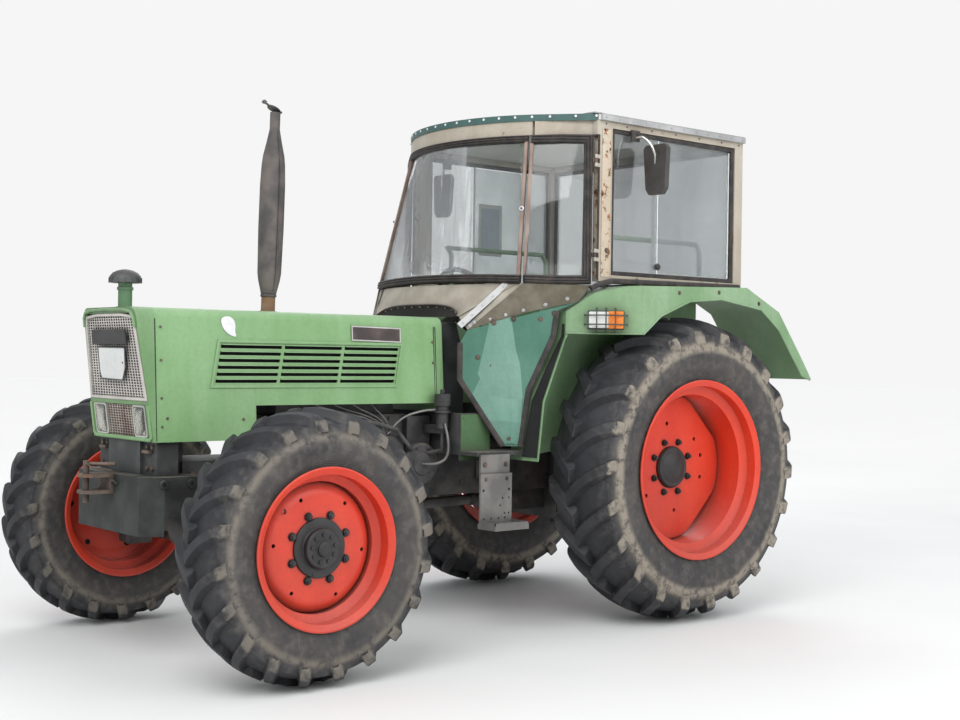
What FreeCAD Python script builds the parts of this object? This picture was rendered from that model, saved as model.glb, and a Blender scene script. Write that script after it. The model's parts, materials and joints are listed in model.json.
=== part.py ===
import FreeCAD, Part
import math
import os

os.makedirs("parts", exist_ok=True)
V = FreeCAD.Vector

# Four-wheel-drive farm tractor with a hard cab. Millimetres. The nose points to -Y, the
# tractor's own left side to +X. Every y below is measured from the rear axle, negative
# towards the nose, and every z from the ground; place() moves it all over the origin.

# Running gear
WHEELBASE = 2330.0
FRONT_HALF_TRACK = 874.0
REAR_HALF_TRACK = 740.0
FRONT_TYRE_R = 560.0
REAR_TYRE_R = 775.0
KINGPIN_X = 735.0
STEER_ARM = 190.0
TRACK_ROD_DROP = 135.0
SEAT_GAP = 0.3
PIN_FIT = 0.1
HUB_BACK_X = 845.0
TRUMPET_END_X = 640.0
FORK_HALF = 118.0
FORK_THICK = 34.0
TRACK_PIN_R = 11.0
TRUNNION_Y = 165.0
TRUNNION_Z = 125.0
TRUNNION_R = 30.0
AXLE_HALF = 52.0
SHAFT_R = 26.0

# Wheels, one row each: outer radius, section width, tread half width, rim flange radius,
# bead seat radius, rim well radius, rim width, disc offset from the wheel's mid-plane,
# lugs on each side, lug height, lug thickness, bar angle in degrees, drop of the crown at the
# shoulder, reach of a lug down the sidewall
WHEELS = {
    "front": dict(r=FRONT_TYRE_R, section=315.0, tread=146.0, flange=330.0, seat=305.0, well=274.0,
                  rim=290.0, disc=67.0, lugs=20, lug_high=32.0, lug_thick=36.0, angle=42.0,
                  drop=34.0, lug_fall=62.0),
    "rear": dict(r=REAR_TYRE_R, section=430.0, tread=200.0, flange=457.0, seat=432.0, well=388.0,
                 rim=380.0, disc=-34.0, lugs=22, lug_high=38.0, lug_thick=46.0, angle=40.0,
                 drop=58.0, lug_fall=80.0),
}
RIM_SHEET = 8.0
DISC_THICK = 12.0
FLANGE_THICK = 14.0
BOLT_CIRCLE_R = 137.5
WHEEL_BOLTS = 8

# Three-point linkage, in the side view: (y, z) of each pin
LINK_PIN = (60.0, 450.0)
LINK_LENGTH = 870.0
LINK_DROP = 20.0
LINK_SPREAD_IN = 235.0
LINK_SPREAD_OUT = 400.0
LINK_EYE_R = 45.0
LINK_BALL_BORE_R = 14.35
LINK_BOSS = 32.0
ROD_EYE_BORE_R = 21.0
ROD_EYE_WIDE = 26.0
ARM_PIN = (365.0, 900.0)
ARM_LENGTH = 250.0
ARM_RISE = 35.0
ARM_X = 285.0
ROD_ON_LINK = 0.62
ROCKSHAFT_R = 36.0
TOP_LINK_Z = 870.0
TOP_LINK_BORE_R = 12.75
DRAWBAR_PIN_Y = 445.0
DRAWBAR_BORE_R = 15.5
LINK_REACH = LINK_PIN[0] + LINK_LENGTH + LINK_EYE_R

# Front weight and the tow jaw on its face
WEIGHT_FACE_Y = -2790.0
WEIGHT_HALF = 291.0
WEIGHT_SIDE_HALF = 345.0
WEIGHT_CHAMFER_Y = 90.0
WEIGHT_REAR_Y = -2525.0
WEIGHT_LOW_Z = 565.0
WEIGHT_TOP_Z = 812.0
WEIGHT_SIDE_STEP = 80.0
JAW_REACH = 130.0
JAW_HALF = 60.0
JAW_PLATE = 14.0
JAW_LOW_Z = 728.0
JAW_PIN_R = 13.0

FRONT_REACH = max(WHEELBASE + FRONT_TYRE_R, JAW_REACH - WEIGHT_FACE_Y)
REAR_AXLE_Y = (FRONT_REACH - LINK_REACH) / 2.0
FRONT_AXLE = -WHEELBASE
FRONT_HUB_Z = FRONT_TYRE_R
REAR_HUB_Z = REAR_TYRE_R
TRACK_ROD_Z = FRONT_HUB_Z - TRACK_ROD_DROP

# Engine and gearbox, plain blocks behind the sheet metal
ENGINE_REAR_Y = -1330.0
ENGINE_HEAD_Z = 1380.0
CRANK_HALF = 175.0
BELL_HALF = 215.0
BELL_REAR_Y = -1205.0
GEARBOX_REAR_Y = 330.0
LIFT_CASE_REAR_Y = 450.0
DRAWBAR_TOP_Z = 480.0
PTO_Z = 600.0
SHAFT_END = (0.0, -641.0, 592.0)

# Bonnet and nose
BONNET_TOP_Z = 1523.0
BONNET_SILL_Z = 1105.0
BONNET_CHIN_Z = 955.0
BONNET_HALF_TOP = 262.0
BONNET_HALF_LOW = 300.0
BONNET_REAR_Y = -1195.0
NOSE_SEAM_Y = -2715.0
NOSE_TOP_Y = -2800.0
NOSE_CHIN_Y = -2722.0
ARCH_Y = -2235.0
BONNET_SHEET = 4.0
VENT_TOP_Z = 1385.0
VENT_LOW_Z = 1188.0
VENT_FRONT_Y = -2454.0
VENT_REAR_Y = -1467.0
VENT_LEAN = 40.0
VENT_ROWS = 6
VENT_COLUMNS = 3
VENT_RIM = 16.0
BONNET_CORNER = 45.0
NOSE_TAPER = 0.96
NOSE_SHEET = 12.0
GRILLE_ROWS = 14
GRILLE_COLUMNS = 5
GRILLE_PITCH = 42.0
GRILLE_TOP_Z = 1497.0
GRILLE_LOW_Z = 1128.0
GRILLE_TOP_HALF = 232.0
GRILLE_LOW_HALF = 268.0
GRILLE_BAR = 8.0
LAMP_X = 184.0
LAMP_Z = 1039.0
LAMP_WIDE = 118.0
LAMP_HIGH = 139.0
BRACKET_HALF = 270.0
BRACKET_Y = (-2700.0, -2600.0)
PAD_HALF = 150.0
EXHAUST_Y = -2005.0
EXHAUST_LEAN = 1.6
EXHAUST_HOLE_R = 48.0
# columns: height over the bonnet, radius
EXHAUST_PROFILE = [(74, 33), (110, 40), (183, 55), (389, 59), (594, 58.5), (731, 50), (833, 28.5), (857, 24),
                   (936, 24)]
FLAP_R = 34.0
FLAP_TILT = 25.0
CLEANER_Y = NOSE_SEAM_Y - 7.0
CLEANER_HIGH = 111.0
CLEANER_R = 71.0

# Cab
CAB_HALF = 745.0
POST_FRONT_Y = -585.0
POST_DEPTH = 85.0
CAB_REAR_Y = 495.0
CAB_SILL_Z = 1700.0
CAB_EAVE_Z = 2470.0
CAB_RAIL = 30.0
CAB_POST = 45.0
REAR_POST_DEPTH = 65.0
SILL_LIFT = 12.0
ROOF_RISE = 52.0
ROOF_BRIM = 30.0
ROOF_OVERHANG = 15.0
SEAL_WIDE = 22.0
PANE_SPLIT_Y = -170.0
GLASS = 6.0
DOOR_HINGE = (CAB_HALF + 3.0, POST_FRONT_Y - 30.0)
DOOR_SHEET = 20.0
HINGE_R = 8.0
HINGE_SHARES = (0.18, 0.78)

# Windscreen: (x, y) of its lower and upper corners, and how far its middle bows forward there
SCREEN_LOW_Z = CAB_SILL_Z - 10.0
SCREEN_TOP_Z = CAB_EAVE_Z - 45.0
SCREEN_LOW = (CAB_HALF - 170.0, -950.0)
SCREEN_TOP = (CAB_HALF - 277.0, -812.0)
SCREEN_LOW_BOW = 125.0
SCREEN_TOP_BOW = 140.0
SCREEN_SILL = 42.0
SCREEN_HEAD = 30.0
SCREEN_BAR = 14.0
SKIRT_HALF = 345.0
SKIRT_Y = -1135.0
SKIRT_Z = 1530.0
SKIRT_BOW = 20.0
DOOR_LINE_END = (380.0, -1165.0)

# Header over the windscreen and the doors, along the roof's front edge
HEADER_LOW_Z = SCREEN_TOP_Z + 6.0
HEADER_DEPTH = 36.0
HEADER_END = (SCREEN_TOP[0] + 22.0, SCREEN_TOP[1] + 25.0)
HEADER_BOW = 152.0
ROOF_MIDDLE_Y = -200.0

# Wheel houses and floor
FENDER_IN = 460.0
FENDER_OUT = 930.0
FENDER_SHEET = 6.0
FLOOR_Z = 860.0
FLOOR_SHEET = 20.0
FLOOR_HALF = 560.0
TOE_TOP_Z = 1060.0
TOE_HALF = 420.0
SHELF_Y = -450.0
SHELF_Z = 1074.0
STEP_Z = 535.0
SHELF_SHEET = 12.0
FLOOR_FRONT_Y = BONNET_REAR_Y + 5.0
CONSOLE_FRONT_Y = FLOOR_FRONT_Y + 13.0
CONSOLE_REAR_Y = -1010.0
CONSOLE_LOW_Z = FLOOR_Z + FLOOR_SHEET + SEAT_GAP
CONSOLE_TOP_Z = 1500.0
CONSOLE_SIDE = [(CONSOLE_FRONT_Y, CONSOLE_LOW_Z), (CONSOLE_REAR_Y, CONSOLE_LOW_Z),
                (CONSOLE_REAR_Y, CONSOLE_TOP_Z - 170), (CONSOLE_REAR_Y - 50, CONSOLE_TOP_Z),
                (CONSOLE_FRONT_Y, CONSOLE_TOP_Z)]
CONSOLE_HALF = 235.0
FENDER_LINE = [(-895, 832), (-862, 1120), (-722, 1440), (-722, 1560), (-620, 1655), (-500, 1688),
               (320, 1712), (590, 1592), (800, 1335), (875, 1238)]
FENDER_LIP = [(-455, 1452), (-330, 1546), (-120, 1625), (120, 1645), (440, 1603), (590, 1500),
              (795, 1255), (868, 1232)]
# The slanted front face stands at 45 degrees from the cab's skirt to the outer edge
FACE_IN = (CAB_HALF - 82.0, -721.0)
FACE_OUT = (FENDER_OUT, FACE_IN[1] + FENDER_OUT - FACE_IN[0])
FACE_LOW_Z = 1455.0
# The inner wall of the wheel house: its rear end, its lower edge, and where that rises from the floor
WALL_REAR_Y = 450.0
WALL_LOW_Z = 905.0
WALL_STEP_Y = -300.0
SIDE_LAMP_HALF = 83.0
SIDE_LAMP_Z = 1520.0

# Driver's place
COLUMN_FOOT = (0.0, -1060.0, 1420.0)
COLUMN_TOP = (0.0, -800.0, 1600.0)
COLUMN_R = 26.0
STEER_WHEEL_R = 205.0
SEAT_Z = 1255.0
MIRROR_Y = -300.0


def place(shape):
    moved = shape.copy()
    moved.translate(V(0, REAR_AXLE_Y, 0))
    return moved


def save(name, *shapes):
    solids = [piece for shape in shapes for piece in shape.Solids]
    whole = solids[0] if len(solids) == 1 else Part.makeCompound(solids)
    place(whole).exportStep(f"parts/{name}.step")


def block(x0, x1, y0, y1, z0, z1):
    return Part.makeBox(x1 - x0, y1 - y0, z1 - z0, V(x0, y0, z0))


def rod(start, end, radius):
    start, end = V(*start), V(*end)
    return Part.makeCylinder(radius, (end - start).Length, start, end - start)


def join(*shapes):
    return shapes[0].multiFuse(list(shapes[1:])).removeSplitter()


def flip(shape):
    return shape.mirror(V(0, 0, 0), V(1, 0, 0))


def pair(shape):
    return Part.makeCompound([shape, flip(shape)])


def prism(points, along):
    """A polygon through points, pushed along a vector."""
    corners = [V(*p) for p in points]
    return Part.Face(Part.makePolygon(corners + corners[:1])).extrude(V(*along))


def side_plate(points, x0, x1):
    return prism([(x0, y, z) for y, z in points], (x1 - x0, 0, 0))


def floor_plate(points, z0, z1):
    return prism([(x, y, z0) for x, y in points], (0, 0, z1 - z0))


def outline(*runs):
    """A closed wire of lines (two points each) and arcs (three points each), end to end."""
    return Part.Wire([Part.makeLine(*run) if len(run) == 2 else Part.Arc(*run).toShape() for run in runs])


def turned(profile, centre, axis=V(1, 0, 0)):
    """A closed (along, radius) outline turned about an axis through centre."""
    across = V(0, 0, 1) if abs(axis.z) < 0.9 else V(1, 0, 0)
    corners = [V(*centre) + axis * a + across * r for a, r in profile]
    face = Part.Face(Part.makePolygon(corners + corners[:1]))
    return face.revolve(V(*centre), axis, 360)


def bent_tube(points, radius):
    """A tube along straight runs with a ball in each bend."""
    runs = [rod(a, b, radius) for a, b in zip(points, points[1:])]
    balls = [Part.makeSphere(radius, V(*p)) for p in points[1:-1]]
    return join(*(runs + balls)) if len(runs) > 1 else runs[0]


def folded(points, thick, x0, x1):
    """Sheet folded along (y, z) points, thick on the right-hand side of the path."""
    normals = []
    for (y0, z0), (y1, z1) in zip(points, points[1:]):
        run = math.hypot(y1 - y0, z1 - z0)
        normals.append(((z1 - z0) / run, -(y1 - y0) / run))
    inner = []
    for i, (y, z) in enumerate(points):
        a = normals[max(i - 1, 0)]
        b = normals[min(i, len(normals) - 1)]
        scale = thick / (1 + a[0] * b[0] + a[1] * b[1])
        inner.append((y + (a[0] + b[0]) * scale, z + (a[1] + b[1]) * scale))
    return side_plate(points + inner[::-1], x0, x1)


def leaning_panel(low, high, z_low, z_high, thick):
    """A ruled panel between a low and a high plan line, each ((x, y), (x, y))."""
    rings = []
    for (a, b), z in ((low, z_low), (high, z_high)):
        along = V(b[0] - a[0], b[1] - a[1], 0).normalize()
        out = V(along.y, -along.x, 0) * (thick / 2.0)
        corners = [V(*a, z) + out, V(*b, z) + out, V(*b, z) - out, V(*a, z) - out]
        rings.append(Part.makePolygon(corners + corners[:1]))
    return Part.makeLoft(rings, True, True)


def on_line(a, b, share):
    return tuple(p + (q - p) * share for p, q in zip(a, b))


def hinge_z(share):
    return CAB_SILL_Z + (CAB_EAVE_Z - CAB_SILL_Z) * share


# Tyres: a carcass turned from arcs, with straight bars set as a chevron
def tyre(w):
    crown = w["r"] - w["lug_high"]
    shoulder = crown - w["drop"]
    bead = w["rim"] / 2.0 - FLANGE_THICK - SEAT_GAP
    bulge = w["section"] / 2.0
    low = w["flange"] + 8.0
    middle = (low + shoulder) / 2.0
    tread = w["tread"]
    right = [V(bead, 0, w["seat"] + SEAT_GAP), V(bead, 0, low), V(bulge, 0, middle), V(tread, 0, shoulder)]
    left = [V(-p.x, 0, p.z) for p in right]
    section = outline(right[:2], right[1:], (right[3], V(0, 0, crown), left[3]), left[:0:-1], left[1::-1],
                      (left[0], right[0]))
    body = Part.Face(section).revolve(V(0, 0, 0), V(1, 0, 0), 360)
    pitch = 360.0 / w["lugs"]
    bars = []
    for side in (1, -1):
        bar = tread_bar(w, side)
        for i in range(w["lugs"]):
            turn = 180.0 + (i + (0.5 if side < 0 else 0.0)) * pitch
            bars.append(bar.rotated(V(0, 0, 0), V(1, 0, 0), turn))
    return join(body, *bars)


def tread_bar(w, side):
    lean = math.radians(w["angle"])
    reach = w["tread"] / math.cos(lean)
    drop = w["drop"]
    # columns: share of the bar's reach, depth below the tip circle
    top = [(-0.02, 0.0), (0.3, drop * 0.09), (0.6, drop * 0.36), (0.9, drop * 0.81),
           (0.985, drop + w["lug_fall"])]
    side_view = []
    for share, depth in top:
        u = share * reach
        far = abs(u) * math.sin(lean) + w["lug_thick"] / 2.0 * math.cos(lean)
        side_view.append((u, math.sqrt((w["r"] - depth) ** 2 - far ** 2)))
    side_view.append((0.85 * reach, side_view[-1][1] - 10.0))
    side_view.append((top[0][0] * reach, w["r"] - w["lug_high"] - 14.0))
    along = V(side * math.cos(lean), math.sin(lean), 0)
    across = V(-side * math.sin(lean), math.cos(lean), 0)
    half = across * (w["lug_thick"] / 2.0)
    corners = [along * u + V(0, 0, z) - half for u, z in side_view]
    return Part.Face(Part.makePolygon(corners + corners[:1])).extrude(half * 2.0)


# Rims: a rolled ring with flanges and a well, a welded disc and the hub on it
def rim_ring(w):
    edge = w["rim"] / 2.0
    seat_end = edge - 62.0
    well_end = seat_end - 26.0
    sheet = RIM_SHEET
    outer = [(edge, w["flange"]), (edge - FLANGE_THICK, w["flange"]), (edge - FLANGE_THICK, w["seat"]),
             (seat_end, w["seat"]), (well_end, w["well"])]
    inner = [(well_end, w["well"] - sheet), (seat_end, w["seat"] - sheet), (edge, w["seat"] - sheet)]
    left_outer = [(-a, r) for a, r in outer[::-1]]
    left_inner = [(-a, r) for a, r in inner[::-1]]
    return turned(outer + left_outer + left_inner + inner, (0, 0, 0))


def front_wheel(w):
    face = w["disc"]
    inside = w["well"] - RIM_SHEET
    back = face - DISC_THICK
    disc = turned([(back, 0), (face, 0), (face, inside + 1.0), (back, inside + 1.0)], (0, 0, 0))
    # planetary hub: columns along, radius
    hub = turned([(HUB_BACK_X - FRONT_HALF_TRACK + SEAT_GAP, 0), (face + 46, 0), (face + 46, 30),
                  (face + 30, 34), (face + 30, 78), (face + 12, 84), (face + 12, 121),
                  (back - 2, 121), (back - 2, 115), (HUB_BACK_X - FRONT_HALF_TRACK + SEAT_GAP, 105)],
                 (0, 0, 0))
    return join(rim_ring(w), disc, hub, *wheel_bolts(face, 16.0))


def rear_wheel(w):
    face = w["disc"]
    inside = w["well"] - RIM_SHEET
    back = face - DISC_THICK
    disc = turned([(back, 0), (face, 0), (face, inside + 1.0), (back, inside + 1.0)], (0, 0, 0))
    chord = inside * 0.905
    for corner in (45, 135, 225, 315):
        cut = block(back - 5, face + 5, chord, inside * 1.3, -inside, inside)
        disc = disc.cut(cut.rotated(V(0, 0, 0), V(1, 0, 0), corner))
    start = TRUMPET_END_X - REAR_HALF_TRACK + SEAT_GAP
    hub = turned([(start, 0), (face + 38, 0), (face + 34, 60), (face + 18, 100), (face + 4, 108),
                  (back - 2, 108), (back - 2, 165), (back - 20, 165), (back - 24, 95), (start, 90)],
                 (0, 0, 0))
    return join(rim_ring(w), disc, hub, *wheel_bolts(face, 24.0))


def wheel_bolts(face, stand):
    bolts = []
    for i in range(WHEEL_BOLTS):
        a = 2 * math.pi * (i + 0.5) / WHEEL_BOLTS
        y, z = BOLT_CIRCLE_R * math.cos(a), BOLT_CIRCLE_R * math.sin(a)
        bolts.append(rod((face - 2, y, z), (face + stand, y, z), 14.0))
    return bolts


def make_wheels():
    # columns: end of the name, kind, half track, y, z
    rows = [("front", FRONT_HALF_TRACK, FRONT_AXLE, FRONT_HUB_Z), ("rear", REAR_HALF_TRACK, 0.0, REAR_HUB_Z)]
    for kind, half_track, y, z in rows:
        w = WHEELS[kind]
        rubber = tyre(w)
        wheel = front_wheel(w) if kind == "front" else rear_wheel(w)
        for shape, piece in ((rubber, "tyre"), (wheel, "wheel")):
            left = shape.translated(V(half_track, y, z))
            save(f"{piece}_{kind}_left", left)
            save(f"{piece}_{kind}_right", flip(left))


# Front axle: a driven beam with the king-pin forks, the knuckles and the track rod
def make_front_axle():
    z = FRONT_HUB_Z
    y = FRONT_AXLE
    neck_in, neck_out = KINGPIN_X - 130, KINGPIN_X - 95
    half = AXLE_HALF
    beam = block(-neck_in - 5, neck_in + 5, y - half, y + half, z - half, z + half)
    drum = turned([(-135, 0), (135, 0), (135, 95), (70, 138), (-70, 138), (-135, 95)], (0, y, z))
    snout = rod((0, y + 100, z), (0, y + 205, z), half)
    reach = TRUNNION_Y + 18
    trunnion = rod((0, y - reach, z + TRUNNION_Z), (0, y + reach, z + TRUNNION_Z), TRUNNION_R)
    outer = FORK_HALF + FORK_THICK
    fork = [block(neck_in, neck_out, y - 60, y + 60, z - outer, z + outer)]
    for low in (z - outer, z + FORK_HALF):
        fork.append(block(neck_out, KINGPIN_X, y - 45, y + 45, low, low + FORK_THICK))
        fork.append(rod((KINGPIN_X, y, low), (KINGPIN_X, y, low + FORK_THICK), 45.0))
    left = join(*fork)
    save("front_axle", join(beam, drum, snout, trunnion, left, flip(left)))


def make_knuckles():
    z = FRONT_HUB_Z
    y = FRONT_AXLE
    x = KINGPIN_X
    half = FORK_HALF - SEAT_GAP
    low = z - half
    end = y + STEER_ARM
    post = rod((x, y, low), (x, y, z + half), 52.0)
    case = turned([(-60, 0), (HUB_BACK_X - x, 0), (HUB_BACK_X - x, 100), (10, 92), (-60, 70)], (x, y, z))
    arm = floor_plate([(x - 22, y + 30), (x + 30, y + 30), (x + 22, end), (x - 22, end)], low, low + 40)
    boss = rod((x, end, low), (x, end, low + 40), 26.0)
    pin = rod((x, end, TRACK_ROD_Z - 22), (x, end, low + 5), TRACK_PIN_R)
    left = join(post, case, arm, boss, pin)
    save("knuckle_left", left)
    save("knuckle_right", flip(left))

    eye = rod((x, end, TRACK_ROD_Z - 20), (x, end, low - SEAT_GAP), 2 * TRACK_PIN_R)
    hole = rod((x, end, TRACK_ROD_Z - 40), (x, end, z), TRACK_PIN_R + PIN_FIT)
    bar = rod((-x, end, TRACK_ROD_Z - 4), (x, end, TRACK_ROD_Z - 4), 15.0)
    save("track_rod", join(bar, eye, flip(eye)).cut(pair(hole)))


def make_chassis():
    y = FRONT_AXLE
    z = FRONT_HUB_Z + TRUNNION_Z
    cheeks = []
    for face in (y - TRUNNION_Y, y + TRUNNION_Y):
        lug = block(-75, 75, face - 20, face + 20, z - 45, 760)
        cheeks.append(lug.cut(rod((0, face - 40, z), (0, face + 40, z), TRUNNION_R + PIN_FIT)))
    carrier_end = y + 260
    beam = block(-165, 165, WEIGHT_REAR_Y + SEAT_GAP, carrier_end, 745, 860)
    seat_low, seat_top = WEIGHT_TOP_Z + SEAT_GAP, BONNET_CHIN_Z - SEAT_GAP
    pads = block(-PAD_HALF, PAD_HALF, NOSE_SEAM_Y - 3, WEIGHT_REAR_Y + 10, seat_low, seat_top)
    bracket = block(-BRACKET_HALF, BRACKET_HALF, *BRACKET_Y, seat_low, seat_top)
    save("front_carrier", join(beam, pads, bracket, *cheeks))

    crank = block(-CRANK_HALF, CRANK_HALF, carrier_end + SEAT_GAP, ENGINE_REAR_Y, 740, 1050)
    sump = prism([(-150, -2050, 745), (150, -2050, 745), (120, -2050, 650), (-120, -2050, 650)], (0, 700, 0))
    head = block(-120, 120, EXHAUST_Y - 25, ENGINE_REAR_Y - 30, 1045, ENGINE_HEAD_Z)
    bell = block(-BELL_HALF, BELL_HALF, ENGINE_REAR_Y - 15, BELL_REAR_Y, 650, 1040)
    save("engine", join(crank, sump, head, bell))

    mid = block(-150, 150, BELL_REAR_Y + SEAT_GAP, -330, 640, FLOOR_Z - SEAT_GAP)
    transfer = block(-110, 110, SHAFT_END[1] + 1, -330, 530, 650)
    rear = block(-205, 205, -340, 290, DRAWBAR_TOP_Z, 1045)
    back = block(-150, 150, 285, GEARBOX_REAR_Y, 520, 830)
    lift_case = block(-205, 205, 285, LIFT_CASE_REAR_Y, 820, 1000)
    # columns: distance along the axle from the middle, radius
    trumpet = turned([(190, 0), (TRUMPET_END_X, 0), (TRUMPET_END_X, 105), (TRUMPET_END_X - 40, 128),
                      (TRUMPET_END_X - 75, 128), (TRUMPET_END_X - 90, 92), (190, 125)], (0, 0, REAR_HUB_Z))
    whole = join(mid, transfer, rear, back, lift_case, trumpet, flip(trumpet))
    bearing = rod((-210, ARM_PIN[0], ARM_PIN[1]), (210, ARM_PIN[0], ARM_PIN[1]), ROCKSHAFT_R + PIN_FIT)
    save("transmission", whole.cut(bearing))
    save("drive_shaft", rod((0, y + 206, FRONT_HUB_Z), SHAFT_END, SHAFT_R))

    save("radiator", block(-215, 215, -2640, -2560, BONNET_CHIN_Z, 1460))
    start = GEARBOX_REAR_Y + SEAT_GAP
    save("pto_shaft", join(rod((0, start, PTO_Z), (0, start + 80, PTO_Z), 17.5),
                           rod((0, start, PTO_Z), (0, start + 12, PTO_Z), 55.0)))


# Front weight: a chamfered cast block on the carrier, with the tow jaw on its face
def make_front_weight():
    step = WEIGHT_FACE_Y + WEIGHT_CHAMFER_Y
    plan = [(-WEIGHT_HALF, WEIGHT_FACE_Y), (WEIGHT_HALF, WEIGHT_FACE_Y), (WEIGHT_SIDE_HALF, step),
            (-WEIGHT_SIDE_HALF, step)]
    front = floor_plate(plan, WEIGHT_LOW_Z, WEIGHT_TOP_Z)
    side_low = WEIGHT_LOW_Z + WEIGHT_SIDE_STEP
    sides = block(-WEIGHT_SIDE_HALF, WEIGHT_SIDE_HALF, step, WEIGHT_REAR_Y, side_low, WEIGHT_TOP_Z)
    ring_z = WEIGHT_TOP_Z - 30
    rings = [rod((side * (WEIGHT_SIDE_HALF - 8), y, ring_z), (side * (WEIGHT_SIDE_HALF + 6), y, ring_z), 16.0)
             for y in (step - 4, step + 122) for side in (1, -1)]
    save("front_weight", join(front, sides, *rings))

    tip = WEIGHT_FACE_Y - JAW_REACH
    pin_y = tip + 30
    plates = []
    end = WEIGHT_FACE_Y - SEAT_GAP
    right = [(JAW_HALF, end), (JAW_HALF, tip + 46), (0.75 * JAW_HALF, tip + 14), (0.4 * JAW_HALF, tip)]
    plan = right + [(-x, y) for x, y in right[::-1]]
    for z in (JAW_LOW_Z, WEIGHT_TOP_Z - JAW_PLATE):
        plates.append(floor_plate(plan, z, z + JAW_PLATE))
    back = block(-JAW_HALF, JAW_HALF, end - 16, end, JAW_LOW_Z, WEIGHT_TOP_Z)
    handle_z = WEIGHT_TOP_Z + 56
    pin = join(rod((0, pin_y, JAW_LOW_Z - 40), (0, pin_y, handle_z), JAW_PIN_R),
               rod((0, pin_y, handle_z - 14), (70, pin_y + 100, handle_z - 14), 8.0))
    save("tow_jaw", join(back, pin, *plates))


# Bonnet: a folded shell with rounded top edges, open below, and slotted vents in both sides
def bonnet_section(y, low, shrink=0.0, narrow=1.0, lean=False):
    """The bonnet's outline as a closed wire: sides leaning in to rounded top edges."""
    slope = (BONNET_HALF_TOP - BONNET_HALF_LOW) / (BONNET_TOP_Z - BONNET_CHIN_Z)
    half_low = BONNET_HALF_LOW + slope * (low - BONNET_CHIN_Z) - shrink
    half = BONNET_HALF_TOP - shrink
    top = BONNET_TOP_Z - shrink
    corner = BONNET_CORNER - shrink
    near = corner * (1.0 - math.sqrt(0.5))
    right = [(half_low, low), (half, top - corner), (half - near, top - near), (half - corner, top)]
    around = right + [(-x, z) for x, z in right[::-1]]
    p = [V(x * narrow, nose_y(z) + shrink if lean else y, z) for x, z in around]
    return outline(p[0:2], p[1:4], p[3:5], p[4:7], p[6:8], (p[7], p[0]))


def bonnet_block(y0, y1, low, shrink=0.0):
    return Part.Face(bonnet_section(y0, low, shrink)).extrude(V(0, y1 - y0, 0))


def make_bonnet():
    front = bonnet_block(NOSE_SEAM_Y, ARCH_Y, BONNET_CHIN_Z)
    rear = bonnet_block(ARCH_Y, BONNET_REAR_Y, BONNET_SILL_Z)
    hollow = bonnet_block(NOSE_SEAM_Y - 1, BONNET_REAR_Y + 1, BONNET_CHIN_Z - 10, BONNET_SHEET)
    chimney = rod((0, EXHAUST_Y, BONNET_TOP_Z - 60), (0, EXHAUST_Y, BONNET_TOP_Z + 60), EXHAUST_HOLE_R)
    shell = join(front, rear).cut(hollow).cut(chimney)
    cuts = []
    row = (VENT_TOP_Z - VENT_LOW_Z - VENT_RIM) / VENT_ROWS
    column = (VENT_REAR_Y - VENT_FRONT_Y - VENT_RIM) / VENT_COLUMNS
    lean = VENT_LEAN / (VENT_TOP_Z - VENT_LOW_Z)
    for i in range(VENT_ROWS):
        z0 = VENT_LOW_Z + VENT_RIM + i * row
        z1 = z0 + row * 0.5
        slant0, slant1 = lean * (z0 - VENT_LOW_Z), lean * (z1 - VENT_LOW_Z)
        for j in range(VENT_COLUMNS):
            y0 = VENT_FRONT_Y + VENT_RIM + j * column
            y1 = y0 + column - VENT_RIM
            slot = [(y0 + slant0, z0), (y1 + slant0, z0), (y1 + slant1, z1), (y0 + slant1, z1)]
            cuts.append(side_plate(slot, -BONNET_HALF_LOW - 50, BONNET_HALF_LOW + 50))
    save("bonnet", shell.cut(Part.makeCompound(cuts)))
    save("cowl", bonnet_block(BONNET_REAR_Y + SEAT_GAP, CONSOLE_FRONT_Y - SEAT_GAP, TOE_TOP_Z + SEAT_GAP))


# Nose: the leaning hood end with its grille, chin mesh and headlamps
def nose_y(z):
    share = (z - BONNET_CHIN_Z) / (BONNET_TOP_Z - BONNET_CHIN_Z)
    return NOSE_CHIN_Y + (NOSE_TOP_Y - NOSE_CHIN_Y) * share


def nose_solid(shrink):
    """The nose outline as a loft from the seam to the leaning face, drawn in by shrink."""
    low = BONNET_CHIN_Z + shrink
    seam = NOSE_SEAM_Y - SEAT_GAP + (5.0 if shrink else 0.0)
    rings = [bonnet_section(seam, low, shrink), bonnet_section(seam, low, shrink, NOSE_TAPER, True)]
    return Part.makeLoft(rings, True, True)


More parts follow.
